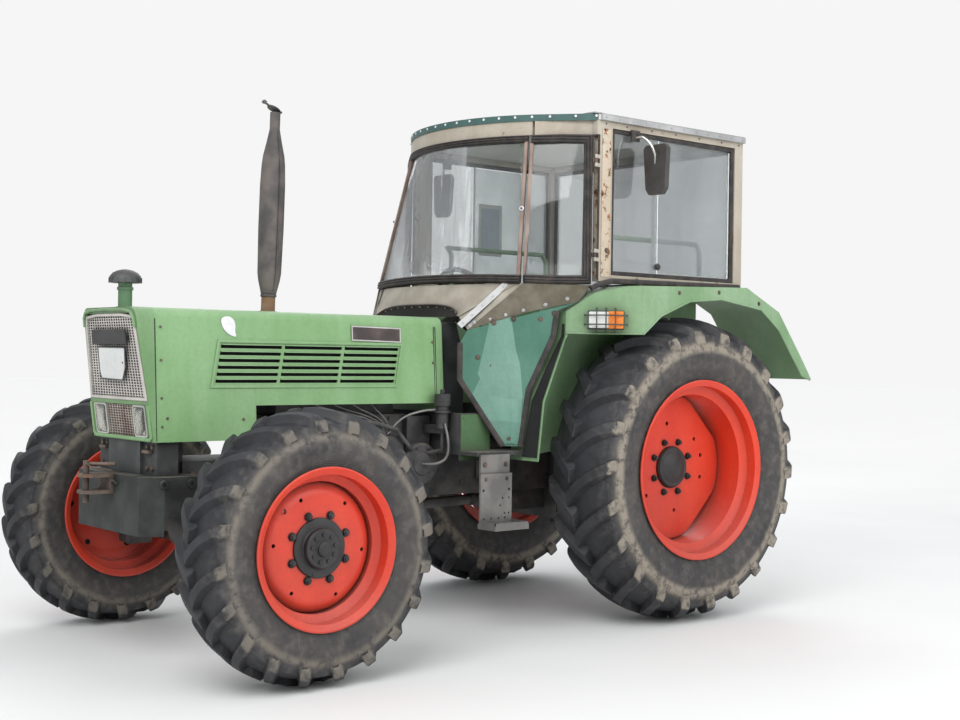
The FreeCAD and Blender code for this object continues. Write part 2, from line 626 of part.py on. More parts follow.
def make_nose():
    body = nose_solid(0.0).cut(nose_solid(NOSE_SHEET))
    ahead = min(NOSE_TOP_Y, NOSE_CHIN_Y) - 100
    window = [(-GRILLE_LOW_HALF, GRILLE_LOW_Z), (GRILLE_LOW_HALF, GRILLE_LOW_Z),
              (GRILLE_TOP_HALF, GRILLE_TOP_Z), (-GRILLE_TOP_HALF, GRILLE_TOP_Z)]
    window = prism([(x, ahead, z) for x, z in window], (0, 190, 0))
    lamp_out = LAMP_X + LAMP_WIDE / 2 + SEAT_GAP
    chin_low, chin_top = LAMP_Z - LAMP_HIGH / 2 - SEAT_GAP, LAMP_Z + LAMP_HIGH / 2 + SEAT_GAP
    chin = block(-lamp_out, lamp_out, ahead, NOSE_SEAM_Y + 6, chin_low, chin_top)
    save("nose", body.cut(window).cut(chin))

    frame = grille_sheet(1.0, 14.0).cut(grille_sheet(14.0, 60.0))
    bars = []
    edge = 8.0
    low_z, top_z = GRILLE_LOW_Z + edge, GRILLE_TOP_Z - edge
    for i in range(1, GRILLE_ROWS):
        z = GRILLE_LOW_Z + i * (GRILLE_TOP_Z - GRILLE_LOW_Z) / GRILLE_ROWS
        half = GRILLE_LOW_HALF - edge + (GRILLE_TOP_HALF - GRILLE_LOW_HALF) * i / GRILLE_ROWS
        y = nose_y(z) + 3
        bars.append(block(-half, half, y, y + GRILLE_BAR / 2, z - GRILLE_BAR / 2, z + GRILLE_BAR / 2))
    y0, y1 = nose_y(low_z) + 3, nose_y(top_z) + 3
    for i in range(-GRILLE_COLUMNS, GRILLE_COLUMNS + 1):
        x0, x1 = i * GRILLE_PITCH - GRILLE_BAR / 2, i * GRILLE_PITCH + GRILLE_BAR / 2
        back = y0 + GRILLE_BAR / 2
        foot = [(x0, y0, low_z), (x1, y0, low_z), (x1, back, low_z), (x0, back, low_z)]
        bars.append(prism(foot, (0, y1 - y0, top_z - low_z)))
    mesh_half = LAMP_X - LAMP_WIDE / 2 - SEAT_GAP
    face = nose_y(LAMP_Z)
    chin_mesh = block(-mesh_half, mesh_half, face, face + 10, chin_low + SEAT_GAP, chin_top - SEAT_GAP)
    save("grille", join(frame, *bars), chin_mesh)

    lamp = block(LAMP_X - LAMP_WIDE / 2, LAMP_X + LAMP_WIDE / 2, face - 6, face + 45,
                 LAMP_Z - LAMP_HIGH / 2, LAMP_Z + LAMP_HIGH / 2)
    save("headlamps", pair(lamp.makeFillet(14.0, [e for e in lamp.Edges if abs(e.tangentAt(0).y) > 0.9])))


def grille_sheet(inset, thick):
    low_z, top_z = GRILLE_LOW_Z + inset, GRILLE_TOP_Z - inset
    low_half, top_half = GRILLE_LOW_HALF - inset, GRILLE_TOP_HALF - inset
    start = 0.0 if thick < 50 else -thick / 2
    corners = [V(-low_half, nose_y(low_z) + start, low_z), V(low_half, nose_y(low_z) + start, low_z),
               V(top_half, nose_y(top_z) + start, top_z), V(-top_half, nose_y(top_z) + start, top_z)]
    return Part.Face(Part.makePolygon(corners + corners[:1])).extrude(V(0, thick, 0))


# Exhaust with its rain flap, and the air cleaner's cap on the nose
def make_stacks():
    top = BONNET_TOP_Z
    up = V(0, 0, 1)
    foot = ENGINE_HEAD_Z + 1.2
    profile = [(foot, EXHAUST_PROFILE[0][1])] + [(top + high, radius) for high, radius in EXHAUST_PROFILE]
    mouth = profile[-1][0]
    silencer = turned([(foot, 0)] + profile + [(mouth, 0)], (0, EXHAUST_Y, 0), up)
    flap = join(rod((0, EXHAUST_Y - 12, mouth - 1), (0, EXHAUST_Y - 12, mouth + 4), FLAP_R),
                block(-10, 10, EXHAUST_Y - 66, EXHAUST_Y - 40, mouth - 1, mouth + 4))
    flap = flap.rotated(V(0, EXHAUST_Y + 20, mouth), V(1, 0, 0), -FLAP_TILT)
    hinge = rod((-20, EXHAUST_Y + 20, mouth), (20, EXHAUST_Y + 20, mouth), 6.0)
    save("exhaust", join(silencer, hinge, flap).rotated(V(0, EXHAUST_Y, top), V(1, 0, 0), -EXHAUST_LEAN))

    neck = top + CLEANER_HIGH
    # columns: height, radius
    cap = turned([(neck - 4, 0), (neck + 56, 0), (neck + 48, 0.56 * CLEANER_R), (neck + 26, 0.93 * CLEANER_R),
                  (neck - 2, CLEANER_R), (neck - 4, 0.85 * CLEANER_R)], (0, CLEANER_Y, 0), up)
    tube = rod((0, CLEANER_Y, top + SEAT_GAP), (0, CLEANER_Y, neck), 0.42 * CLEANER_R)
    save("air_precleaner", join(tube, cap))


# Gear on the engine's left side, in view between the wheels: filter, pump, pipes
def make_engine_side():
    x, y = 340, BELL_REAR_Y - 23
    wall = BELL_HALF + SEAT_GAP
    bowl = join(rod((x, y, 985), (x, y, 1130), 30.0), rod((x, y, 1095), (x, y, 1150), 38.0))
    foot = block(wall, x + 5, y - 22, y + 18, 960, 1000)
    cover = turned([(wall, 0), (268, 0), (268, 92), (256, 102), (wall, 102)], (0, y - 62, 810))
    pump = block(CRANK_HALF + SEAT_GAP, 262, -1560, -1400, 770, 950)
    pipe = [(250, -1780, 1040), (270, -1560, 1010), (285, -1460, 980), (285, -1390, 905), (250, -1340, 870)]
    riser = rod((250, -1500, 940), (272, -1540, 1008), 10.0)
    low_pipe = bent_tube([(x, y, 990), (x, y, 880), (262, y - 34, 860)], 9.0)
    save("engine_side_gear", join(bowl, foot, cover, low_pipe, pump, bent_tube(pipe, 10.0), riser))


# Floor: footplate, toe board, seat shelf, the two steps and the console
def console_solid():
    return side_plate(CONSOLE_SIDE, -CONSOLE_HALF, CONSOLE_HALF)


def make_floor():
    edge = FENDER_IN - SEAT_GAP
    house_y = FENDER_LINE[0][0] - 1
    foot = floor_plate([(-FLOOR_HALF, FLOOR_FRONT_Y), (FLOOR_HALF, FLOOR_FRONT_Y), (FLOOR_HALF, house_y),
                        (edge, house_y), (edge, SHELF_Y + 10), (-edge, SHELF_Y + 10), (-edge, house_y),
                        (-FLOOR_HALF, house_y)], FLOOR_Z, FLOOR_Z + FLOOR_SHEET)
    shelf = block(-edge, edge, SHELF_Y, CAB_REAR_Y - 25, SHELF_Z - SHELF_SHEET, SHELF_Z)
    riser = block(-edge, edge, SHELF_Y, SHELF_Y + SHELF_SHEET, FLOOR_Z, SHELF_Z)
    toe = block(-TOE_HALF, TOE_HALF, FLOOR_FRONT_Y, FLOOR_FRONT_Y + SHELF_SHEET, FLOOR_Z, TOE_TOP_Z)
    wing = block(TOE_HALF, TOE_HALF + SHELF_SHEET, FLOOR_FRONT_Y, CONSOLE_REAR_Y + 10, FLOOR_Z - 30,
                 TOE_TOP_Z)
    save("platform", join(foot, shelf, riser, toe, wing, flip(wing)))

    hanger = block(FLOOR_HALF, FLOOR_HALF + 12, -1175, -995, STEP_Z + 235, FLOOR_Z + 8)
    drop = block(FLOOR_HALF + 11, FLOOR_HALF + 22, -1183, -987, STEP_Z, STEP_Z + 243)
    tread = block(FLOOR_HALF + 12, FLOOR_HALF + 140, -1190, -980, STEP_Z - 15, STEP_Z + 10)
    save("steps", pair(join(hanger, drop, tread)))

    save("console", console_solid())


# Wheel houses: a folded sheet over the tyre, an inner wall, a slanted front face and a lip
def fender_top(y):
    """Height of the wheel house's top at y."""
    for (y0, z0), (y1, z1) in zip(FENDER_LINE, FENDER_LINE[1:]):
        if y0 <= y < y1:
            return z0 + (z1 - z0) * (y - y0) / (y1 - y0)


def make_fenders():
    sheet = folded(FENDER_LINE, FENDER_SHEET, FENDER_IN, FENDER_OUT)
    out_x, far_y = FACE_OUT[0] + 1, FACE_IN[1] - 280
    ahead = floor_plate([FACE_IN, (out_x, FACE_OUT[1]), (out_x, far_y), (FACE_IN[0], far_y)], 800, 1800)
    side_y = FACE_IN[1] - 2
    door_side = floor_plate([(FACE_IN[0], side_y), (FENDER_IN - 60, -1140), (FENDER_IN - 60, -1500),
                             (FENDER_OUT + 70, -1500), (FENDER_OUT + 70, side_y)], FACE_LOW_Z - 7, 1800)
    sheet = sheet.cut(ahead).cut(door_side)
    under = FENDER_SHEET / 2
    foot_y, foot_z = FENDER_LINE[0]
    wall_line = FENDER_LINE[:-3] + [(WALL_REAR_Y, fender_top(WALL_REAR_Y) - under), (WALL_REAR_Y, WALL_LOW_Z),
                                    (WALL_STEP_Y, WALL_LOW_Z), (foot_y + 35, foot_z)]
    wall = side_plate(wall_line, FENDER_IN, FENDER_IN + FENDER_SHEET)
    lip = side_plate(FENDER_LINE[4:] + FENDER_LIP[::-1], FENDER_OUT - FENDER_SHEET, FENDER_OUT).cut(ahead)
    # the face's top edge runs inside the sheet, with its folds
    folds = [y for y, _ in FENDER_LINE if FACE_IN[1] < y < FACE_OUT[1]]
    folds = [FACE_IN[1], *folds, FACE_OUT[1]]
    top_edge = [(FACE_IN[0] + y - FACE_IN[1], y, fender_top(y) - under) for y in folds]
    face = prism([FACE_OUT + (FACE_LOW_Z,), FACE_IN + (FACE_LOW_Z,)] + top_edge, (-5, 5, 0))
    left = join(sheet, wall, lip, face)
    save("fender_left", left)
    save("fender_right", flip(left))


# Cab: posts, rails and sills, with the bowed header over the doors; roof; rear panel
def bowed_band(half, y, bow, depth, z_low, z_top):
    """A band of one thickness that bows forward between its ends at (half, y)."""
    rings = [bowed_ring(half, y, bow, 0.0, depth, z) for z in (z_low, z_top)]
    return Part.makeLoft(rings, True, True)


def bowed_ring(half, y, bow, front, back, z):
    ahead = [V(-half, y + front, z), V(0, y - bow + front, z), V(half, y + front, z)]
    behind = [V(half, y + back, z), V(0, y - bow + back, z), V(-half, y + back, z)]
    return outline(ahead, (ahead[2], behind[0]), behind, (behind[2], ahead[0]))


def make_cab():
    outer, inner = CAB_HALF, CAB_HALF - CAB_POST
    sill_z, rail_top = CAB_SILL_Z + SILL_LIFT, CAB_EAVE_Z + CAB_RAIL
    sides = []
    for y0, y1 in ((POST_FRONT_Y, POST_FRONT_Y + POST_DEPTH), (CAB_REAR_Y - REAR_POST_DEPTH, CAB_REAR_Y)):
        sides.append(block(inner, outer, y0, y1, sill_z, rail_top))
    sides.append(block(inner, outer, POST_FRONT_Y, CAB_REAR_Y, CAB_EAVE_Z, rail_top))
    sides.append(block(inner, outer, POST_FRONT_Y, CAB_REAR_Y, sill_z + SEAT_GAP, CAB_SILL_Z + CAB_POST))
    hx, hy = DOOR_HINGE
    # hinge ears with split barrels on the front post
    for share in HINGE_SHARES:
        z = hinge_z(share)
        ear = block(hx - 14, hx - 2, hy, POST_FRONT_Y + 6, z - 30, z + 30)
        barrel = rod((hx, hy, z - 30), (hx, hy, z + 30), HINGE_R)
        gap = block(hx - 20, hx + 20, hy - 20, POST_FRONT_Y - 2, z - 12, z + 12)
        sides.append(join(ear, barrel).cut(gap))
    # header: side runs from the posts to the ends of the bowed part
    line = (HEADER_END, (inner + 5, POST_FRONT_Y + 2))
    run = leaning_panel(line, line, HEADER_LOW_Z, rail_top, HEADER_DEPTH)
    sides.append(block(inner, outer, POST_FRONT_Y - 20, POST_FRONT_Y + 5, HEADER_LOW_Z, rail_top))
    side = join(*sides, run)
    end_x, end_y = HEADER_END
    bow = bowed_band(end_x, end_y - HEADER_DEPTH / 2, HEADER_BOW, HEADER_DEPTH, HEADER_LOW_Z, rail_top)
    cross = []
    for z in (CAB_EAVE_Z - 2, CAB_SILL_Z + SILL_LIFT + SEAT_GAP):
        cross.append(block(-inner - 1, inner + 1, CAB_REAR_Y - CAB_POST, CAB_REAR_Y, z, z + CAB_RAIL + 2))
    save("cab_frame", join(side, flip(side), bow, *cross))
    half, y = FENDER_IN - 8, CAB_REAR_Y - 34
    save("rear_panel", block(-half, half, y, y + 10, SHELF_Z + 6, sill_z))


def roof_ring(z, scale):
    side, tail = CAB_HALF + ROOF_OVERHANG, CAB_REAR_Y + 5
    end_x, end_y = HEADER_END
    plan = [(side, tail), (side, POST_FRONT_Y - 15), (end_x, end_y - 20), (0, end_y - 20 - HEADER_BOW)]
    points = [V(x * scale, ROOF_MIDDLE_Y + (y - ROOF_MIDDLE_Y) * scale, z) for x, y in plan]
    left = [V(-p.x, p.y, p.z) for p in points]
    return outline((left[0], points[0]), points[0:2], points[1:3], (points[2], points[3], left[2]),
                   left[2:0:-1], left[1::-1])


def make_roof():
    low = CAB_EAVE_Z + CAB_RAIL + SEAT_GAP
    brim = Part.Face(roof_ring(low, 1.0)).extrude(V(0, 0, ROOF_BRIM))
    crown = Part.makeLoft([roof_ring(low + ROOF_BRIM - 1, 1.0), roof_ring(low + ROOF_RISE, 0.86)], True, True)
    save("roof", join(brim, crown))


# Windscreen: the fixed middle part, with its frame up to the header, and the skirt below it
def screen_solid(z_low, z_top, half_thick, inset):
    rings = []
    for z in (z_low, z_top):
        share = (z - SCREEN_LOW_Z) / (SCREEN_TOP_Z - SCREEN_LOW_Z)
        x, y = on_line(SCREEN_LOW, SCREEN_TOP, share)
        bow = SCREEN_LOW_BOW + (SCREEN_TOP_BOW - SCREEN_LOW_BOW) * share
        rings.append(bowed_ring(x - inset, y, bow, -half_thick, half_thick, z))
    return Part.makeLoft(rings, True, True)


def make_windscreen():
    glass_low, glass_top = SCREEN_LOW_Z + SCREEN_SILL, SCREEN_TOP_Z - SCREEN_HEAD
    frame = screen_solid(SCREEN_LOW_Z, HEADER_LOW_Z - SEAT_GAP, 16.0, 0.0)
    opening = screen_solid(glass_low, glass_top, 40.0, SCREEN_BAR)
    save("windscreen_frame", frame.cut(opening))
    save("windscreen_glass", screen_solid(glass_low, glass_top, GLASS / 2, SCREEN_BAR + SEAT_GAP))
    half, y = SCREEN_LOW[0] - 20, SCREEN_LOW[1]
    rings = [bowed_ring(SKIRT_HALF, SKIRT_Y, SKIRT_BOW, -3.0, 3.0, SKIRT_Z),
             bowed_ring(half, y, SCREEN_LOW_BOW, -3.0, 3.0, SCREEN_LOW_Z - SEAT_GAP)]
    save("skirt", Part.makeLoft(rings, True, True))


# Doors: side pane of the screen with its frame, the slanted skirt and the folded lower panel
def door_sheet(line, heights, line_top, z_top, thick):
    """A ruled panel from a slanted low edge to a level top edge."""
    rings = []
    for (a, b), (z_a, z_b) in ((line, heights), (line_top, (z_top, z_top))):
        along = V(b[0] - a[0], b[1] - a[1], 0).normalize()
        out = V(along.y, -along.x, 0) * (thick / 2)
        ring = [V(*a, z_a) + out, V(*b, z_b) + out, V(*b, z_b) - out, V(*a, z_a) - out]
        rings.append(Part.makePolygon(ring + ring[:1]))
    return Part.makeLoft(rings, True, True)


def make_doors():
    hx, hy = DOOR_HINGE
    low = ((SCREEN_LOW[0] + 12, SCREEN_LOW[1] + 8), (hx - 8, hy - 14))
    top = ((SCREEN_TOP[0] + 12, SCREEN_TOP[1] + 8), (hx - 12, hy - 12))
    glass_low, glass_top = SCREEN_LOW_Z + SCREEN_SILL, SCREEN_TOP_Z - SCREEN_HEAD
    front, back = 0.04, 0.86
    frame = leaning_panel(low, top, SCREEN_LOW_Z, SCREEN_TOP_Z, DOOR_SHEET)
    window_low = (on_line(*low, front), on_line(*low, back))
    window_top = (on_line(*top, front), on_line(*top, back))
    frame = frame.cut(leaning_panel(window_low, window_top, glass_low, glass_top, 90.0))
    pane_low = (on_line(*low, front + 0.002), on_line(*low, back - 0.002))
    pane_top = (on_line(*top, front + 0.002), on_line(*top, back - 0.002))
    glass = leaning_panel(pane_low, pane_top, glass_low + SEAT_GAP, glass_top - SEAT_GAP, GLASS)

    run = math.hypot(DOOR_LINE_END[0] - hx, DOOR_LINE_END[1] - hy)
    ex, ey = (DOOR_LINE_END[0] - hx) / run, (DOOR_LINE_END[1] - hy) / run
    # lower panel: columns share of the way from the hinge to the bonnet, height
    kite = [(0.937, 1462), (0.990, 1400), (0.990, 1222), (0.667, 902), (0.538, 900), (0.481, 1175),
            (0.302, 1440), (0.280, 1560), (0.121, 1608)]
    corners = [V(hx + ex * run * share, hy + ey * run * share, z) for share, z in kite]
    panel = Part.Face(Part.makePolygon(corners + corners[:1])).extrude(V(-ey, ex, 0) * -12.0)
    first, last = kite[0], kite[-1]
    skirt_line = tuple((hx + ex * run * share, hy + ey * run * share) for share, _ in (first, last))
    apron = door_sheet(skirt_line, (first[1], last[1]), low, SCREEN_LOW_Z + 1, 10.0)
    hinges = []
    for share in HINGE_SHARES:
        z = hinge_z(share)
        hinges.append(rod((hx, hy, z - 12 + SEAT_GAP), (hx, hy, z + 12 - SEAT_GAP), HINGE_R))
        hinges.append(block(hx - 24, hx, hy - 18, hy - 4, z - 11, z + 11))
    left = join(frame, apron, panel, *hinges)
    save("door_left", left)
    save("door_right", flip(left))
    save("door_glass_left", glass)
    save("door_glass_right", flip(glass))


# Side and rear glass with rubber surrounds
def make_windows():
    wide = SEAL_WIDE
    y0, y1 = POST_FRONT_Y + POST_DEPTH, CAB_REAR_Y - REAR_POST_DEPTH
    z0, z1 = CAB_SILL_Z + CAB_POST, CAB_EAVE_Z
    x = CAB_HALF - 26
    hole = block(x - 1, x + 30, y0 + wide, y1 - wide, z0 + wide, z1 - wide)
    seal = block(x, x + 20, y0, y1, z0, z1).cut(hole)
    half = CAB_HALF - CAB_POST
    hole_half = half - 25
    rear_y = CAB_REAR_Y - 32
    rear_top = z1 - 2
    rear = block(-half, half, rear_y, rear_y + 20, z0, rear_top)
    rear = rear.cut(block(-hole_half, hole_half, rear_y - 20, rear_y + 40, z0 + wide, rear_top - wide))
    save("window_seals", seal, flip(seal), rear)

    low, top = z0 + wide + SEAT_GAP, z1 - wide - SEAT_GAP
    ahead, behind = y0 + wide + SEAT_GAP, y1 - wide - SEAT_GAP
    front_pane = block(x + 8, x + 8 + GLASS, ahead, PANE_SPLIT_Y + 20, low, top)
    rear_pane = block(x + 8 - GLASS - SEAT_GAP, x + 8 - SEAT_GAP, PANE_SPLIT_Y - 20, behind, low, top)
    save("side_glass", pair(front_pane), pair(rear_pane))
    save("rear_glass", block(-hole_half + SEAT_GAP, hole_half - SEAT_GAP, rear_y + 7, rear_y + 7 + GLASS,
                             low, rear_top - wide - SEAT_GAP))


# Driver's place: column, wheel, seat, pedals, levers and the guard rails
def make_driver_place():
    foot, top = V(*COLUMN_FOOT), V(*COLUMN_TOP)
    axis = (top - foot).normalize()
    save("steering_column", rod(foot, top - axis * SEAT_GAP, COLUMN_R).cut(console_solid()))
    hub = Part.makeCylinder(34.0, 30.0, top, axis)
    rim = Part.makeTorus(STEER_WHEEL_R, 13.0, top + axis * 22, axis)
    spokes = []
    side = V(1, 0, 0)
    up = axis.cross(side)
    for angle in (90, 210, 330):
        a = math.radians(angle)
        direction = side * math.cos(a) + up * math.sin(a)
        start = top + axis * 16 + direction * 20
        spokes.append(Part.makeCylinder(8.0, STEER_WHEEL_R - 22, start, direction))
    save("steering_wheel", join(hub, rim, *spokes))

    pan = block(-235, 235, -330, 120, SEAT_Z - 75, SEAT_Z)
    back = block(-225, 225, 95, 175, SEAT_Z - 55, SEAT_Z + 305)
    base = block(-150, 150, -250, 60, SHELF_Z + SEAT_GAP, SEAT_Z - 70)
    save("seat_cushions", join(pan, back))
    save("seat_base", base.cut(pan))
    pedals = []
    for x in (-180, -90, 130):
        pedals.append(join(block(x - 8, x + 8, CONSOLE_REAR_Y + SEAT_GAP, -950, 940, 956),
                           block(x - 32, x + 32, -950, -938, 915, 975)))
    levers = []
    # columns: x, y, height of the knob, lean in y
    rows = [(60, -620, 1180, -40), (-60, -640, 1160, -30), (400, -300, 1360, -60), (370, -180, 1340, -50)]
    for x, y, z, lean in rows:
        foot_z = (FLOOR_Z + FLOOR_SHEET if y < SHELF_Y else SHELF_Z) + SEAT_GAP
        boot = rod((x, y, foot_z), (x, y, foot_z + 30), 22.0)
        stick = rod((x, y, foot_z + 15), (x, y + lean, z), 8.0)
        levers.append(join(boot, stick, Part.makeSphere(22.0, V(x, y + lean, z))))
    save("controls", *pedals, *levers)
    x = CAB_HALF - 135
    y0, y1 = POST_FRONT_Y + 165, CAB_REAR_Y - 185
    high = hinge_z(0.325)
    path = [(y0, fender_top(y0) + 0.8), (y0, high - 40), (y0 - 30, high), (y1 - 30, high), (y1, high - 40),
            (y1, fender_top(y1) + 0.8)]
    save("guard_rails", pair(bent_tube([(x, y, z) for y, z in path], 13.0)))


# Lamps and mirrors
def make_lamps():
    cx, cy = on_line(FACE_IN, FACE_OUT, 0.513)
    body = block(-SIDE_LAMP_HALF, SIDE_LAMP_HALF, -64, -SEAT_GAP, -40, 40).rotated(V(0, 0, 0), V(0, 0, 1), 45)
    save("side_lamps", pair(body.translated(V(cx, cy, SIDE_LAMP_Z))))
    (y0, z0), (y1, z1) = FENDER_LINE[-3:-1]
    slope = math.degrees(math.atan2(z1 - z0, y1 - y0))
    tail = block(-45, 45, -60, 60, SEAT_GAP, 42).rotated(V(0, 0, 0), V(1, 0, 0), slope)
    save("tail_lamps", pair(tail.translated(V(FENDER_OUT - 90, (y0 + y1) / 2, (z0 + z1) / 2))))

    x, y, top = CAB_HALF, MIRROR_Y, CAB_EAVE_Z
    arm = bent_tube([(x + 10, y - 47, top - 30), (x + 60, y - 30, top - 30), (x + 105, y - 5, top - 100),
                     (x + 105, y, top - 170)], 7.0)
    foot = block(x + SEAT_GAP, x + 14, y - 75, y - 20, top - 50, top + 5)
    # columns: distance out from the cab, height under the eave; narrower at its foot
    outline = [(27, -90), (42, -70), (166, -70), (181, -90), (172, -290), (150, -318), (66, -318), (44, -290)]
    glass = prism([(x + out, y - 8, top + down) for out, down in outline], (0, 28, 0))
    save("mirrors", pair(join(arm, foot, glass)))


# Rear linkage
def make_linkage():
    py, pz = LINK_PIN
    ay, az = ARM_PIN
    end = (py + LINK_LENGTH, pz - LINK_DROP)
    hole_y = py + LINK_LENGTH * ROD_ON_LINK
    hole_z = pz - LINK_DROP * ROD_ON_LINK
    start = V(LINK_SPREAD_IN, py, pz)
    stop = V(LINK_SPREAD_OUT, *end)
    mid_x = LINK_SPREAD_IN + (LINK_SPREAD_OUT - LINK_SPREAD_IN) * ROD_ON_LINK
    bar = rod(start, stop, 19.0)
    root = rod((LINK_SPREAD_IN - 18, py, pz), (LINK_SPREAD_IN + 18, py, pz), 38.0)
    eye = rod((LINK_SPREAD_OUT - 22, *end), (LINK_SPREAD_OUT + 22, *end), LINK_EYE_R)
    boss = rod((mid_x - 20, hole_y, hole_z), (mid_x + LINK_BOSS, hole_y, hole_z), 30.0)
    washer_x = mid_x + LINK_BOSS + ROD_EYE_WIDE + 2 * SEAT_GAP
    pin = join(rod((mid_x, hole_y, hole_z), (washer_x + 5, hole_y, hole_z), 9.0),
               rod((washer_x, hole_y, hole_z), (washer_x + 5, hole_y, hole_z), 29.0))
    link = join(bar, root, eye, boss, pin)
    link = link.cut(rod((LINK_SPREAD_OUT - 40, *end), (LINK_SPREAD_OUT + 40, *end), LINK_BALL_BORE_R))
    link = link.cut(rod((LINK_SPREAD_IN - 60, py, pz), (LINK_SPREAD_IN + 60, py, pz), 16.0 + PIN_FIT))
    save("lower_links", pair(link))
    pins = rod((205, py, pz), (LINK_SPREAD_IN + 30, py, pz), 16.0)
    carrier = block(170, 205, py - 60, py + 60, pz - 50, DRAWBAR_TOP_Z - SEAT_GAP)
    brackets = pair(join(pins, carrier))

    shaft = rod((-ARM_X - 30, ay, az), (ARM_X + 30, ay, az), ROCKSHAFT_R)
    tip = (ay + math.sqrt(ARM_LENGTH ** 2 - ARM_RISE ** 2), az + ARM_RISE)
    plate = side_plate([(ay - 30, az - 45), (tip[0], tip[1] - 24), (tip[0], tip[1] + 24), (ay - 30, az + 45)],
                       ARM_X - 18, ARM_X + 18)
    arm = join(plate, rod((ARM_X - 18, *tip), (ARM_X + 18, *tip), 26.0))
    pin = rod((ARM_X, *tip), (ARM_X + 60, *tip), 12.0)
    save("lift_arms", join(arm, pin, flip(arm), flip(pin), shaft))
    return tip, (mid_x, hole_y, hole_z), brackets


def make_lift_rods(tip, low):
    x = ARM_X + 18 + SEAT_GAP
    top_eye = rod((x, *tip), (x + 30, *tip), 26.0).cut(rod((x - 10, *tip), (x + 50, *tip), 12.0 + PIN_FIT))
    eye_x = low[0] + LINK_BOSS + SEAT_GAP
    low_eye = rod((eye_x, low[1], low[2]), (eye_x + ROD_EYE_WIDE, low[1], low[2]), 31.0)
    bar_x = eye_x + ROD_EYE_WIDE / 2.0
    path = [(x + 15, tip[0], tip[1] - 20), (bar_x, low[1], low[2] + 70), (bar_x, low[1], low[2] + 15)]
    bar = bent_tube(path, 12.5)
    hole = rod((eye_x - 10, low[1], low[2]), (eye_x + ROD_EYE_WIDE + 10, low[1], low[2]), ROD_EYE_BORE_R)
    save("lift_rods", pair(join(top_eye, low_eye, bar).cut(hole)))


def make_rear_hitch(link_brackets):
    y = LIFT_CASE_REAR_Y
    plate = block(-60, 60, y + SEAT_GAP, y + 22, TOP_LINK_Z - 40, TOP_LINK_Z + 40)
    ears = [block(x - 9, x + 9, y + 10, y + 90, TOP_LINK_Z - 40, TOP_LINK_Z + 40) for x in (-36, 36)]
    bore = rod((-70, y + 62, TOP_LINK_Z), (70, y + 62, TOP_LINK_Z), TOP_LINK_BORE_R)
    save("hitch_brackets", join(plate, *ears).cut(bore), link_brackets)
    top = DRAWBAR_TOP_Z - SEAT_GAP
    beam = block(-42, 42, -100, DRAWBAR_PIN_Y + 40, DRAWBAR_TOP_Z - 32, top)
    jaw = block(-70, 70, GEARBOX_REAR_Y + SEAT_GAP, GEARBOX_REAR_Y + 85, DRAWBAR_TOP_Z - 40, top)
    bore = rod((0, DRAWBAR_PIN_Y, DRAWBAR_TOP_Z - 80), (0, DRAWBAR_PIN_Y, DRAWBAR_TOP_Z + 20), DRAWBAR_BORE_R)
    save("drawbar", join(jaw, beam).cut(bore))


make_wheels()
make_front_axle()
make_knuckles()
make_chassis()
make_front_weight()
make_bonnet()
make_nose()
make_stacks()
make_engine_side()
make_floor()
make_fenders()
make_cab()
make_roof()
make_windscreen()
make_doors()
make_windows()
make_driver_place()
make_lamps()
arm_tip, rod_foot, side_brackets = make_linkage()
make_lift_rods(arm_tip, rod_foot)
make_rear_hitch(side_brackets)
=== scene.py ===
import bpy
import bmesh
import json
import math
import random
from mathutils import Matrix, Vector

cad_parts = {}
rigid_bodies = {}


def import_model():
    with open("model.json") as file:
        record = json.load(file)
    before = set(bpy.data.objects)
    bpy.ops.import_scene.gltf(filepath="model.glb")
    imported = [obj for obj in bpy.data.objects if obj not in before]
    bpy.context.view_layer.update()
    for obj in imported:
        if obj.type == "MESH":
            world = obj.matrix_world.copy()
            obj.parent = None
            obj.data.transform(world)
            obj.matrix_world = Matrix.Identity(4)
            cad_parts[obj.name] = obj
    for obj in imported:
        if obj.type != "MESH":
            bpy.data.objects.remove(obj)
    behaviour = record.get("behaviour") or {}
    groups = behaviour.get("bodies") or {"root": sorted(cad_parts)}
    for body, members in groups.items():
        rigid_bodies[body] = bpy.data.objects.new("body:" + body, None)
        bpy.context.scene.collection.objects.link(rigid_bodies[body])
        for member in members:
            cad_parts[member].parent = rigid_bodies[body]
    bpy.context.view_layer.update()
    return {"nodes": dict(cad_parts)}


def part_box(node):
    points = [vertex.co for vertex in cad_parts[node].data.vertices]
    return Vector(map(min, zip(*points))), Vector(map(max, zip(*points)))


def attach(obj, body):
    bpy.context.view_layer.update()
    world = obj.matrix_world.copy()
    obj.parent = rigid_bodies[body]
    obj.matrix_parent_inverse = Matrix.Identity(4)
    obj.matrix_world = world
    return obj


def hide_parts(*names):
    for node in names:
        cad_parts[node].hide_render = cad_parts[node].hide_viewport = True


for spare in list(bpy.data.objects):
    bpy.data.objects.remove(spare)
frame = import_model()

# Lengths are in metres, and y runs from the rear axle, whose own place along the tractor is
# AXLE_Y
low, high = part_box("tyre_rear_left")
AXLE_Y = (low.y + high.y) / 2
random.seed(7)


# Camera, floor and light
camera = bpy.data.objects.new("camera", bpy.data.cameras.new("camera"))
bpy.context.scene.collection.objects.link(camera)
bpy.context.scene.camera = camera
camera.data.lens = 52.83
camera.data.sensor_width = 36.0
camera.data.clip_end = 200.0
camera.matrix_world = (
    Matrix.Translation((5.659, AXLE_Y - 5.471, 1.336))
    @ Matrix.Rotation(math.radians(49.92), 4, "Z")
    @ Matrix.Rotation(math.radians(89.842), 4, "X")
    @ Matrix.Rotation(math.radians(0.829), 4, "Z")
)
bpy.context.scene.view_settings.view_transform = "Standard"
bpy.context.scene.view_settings.look = "None"


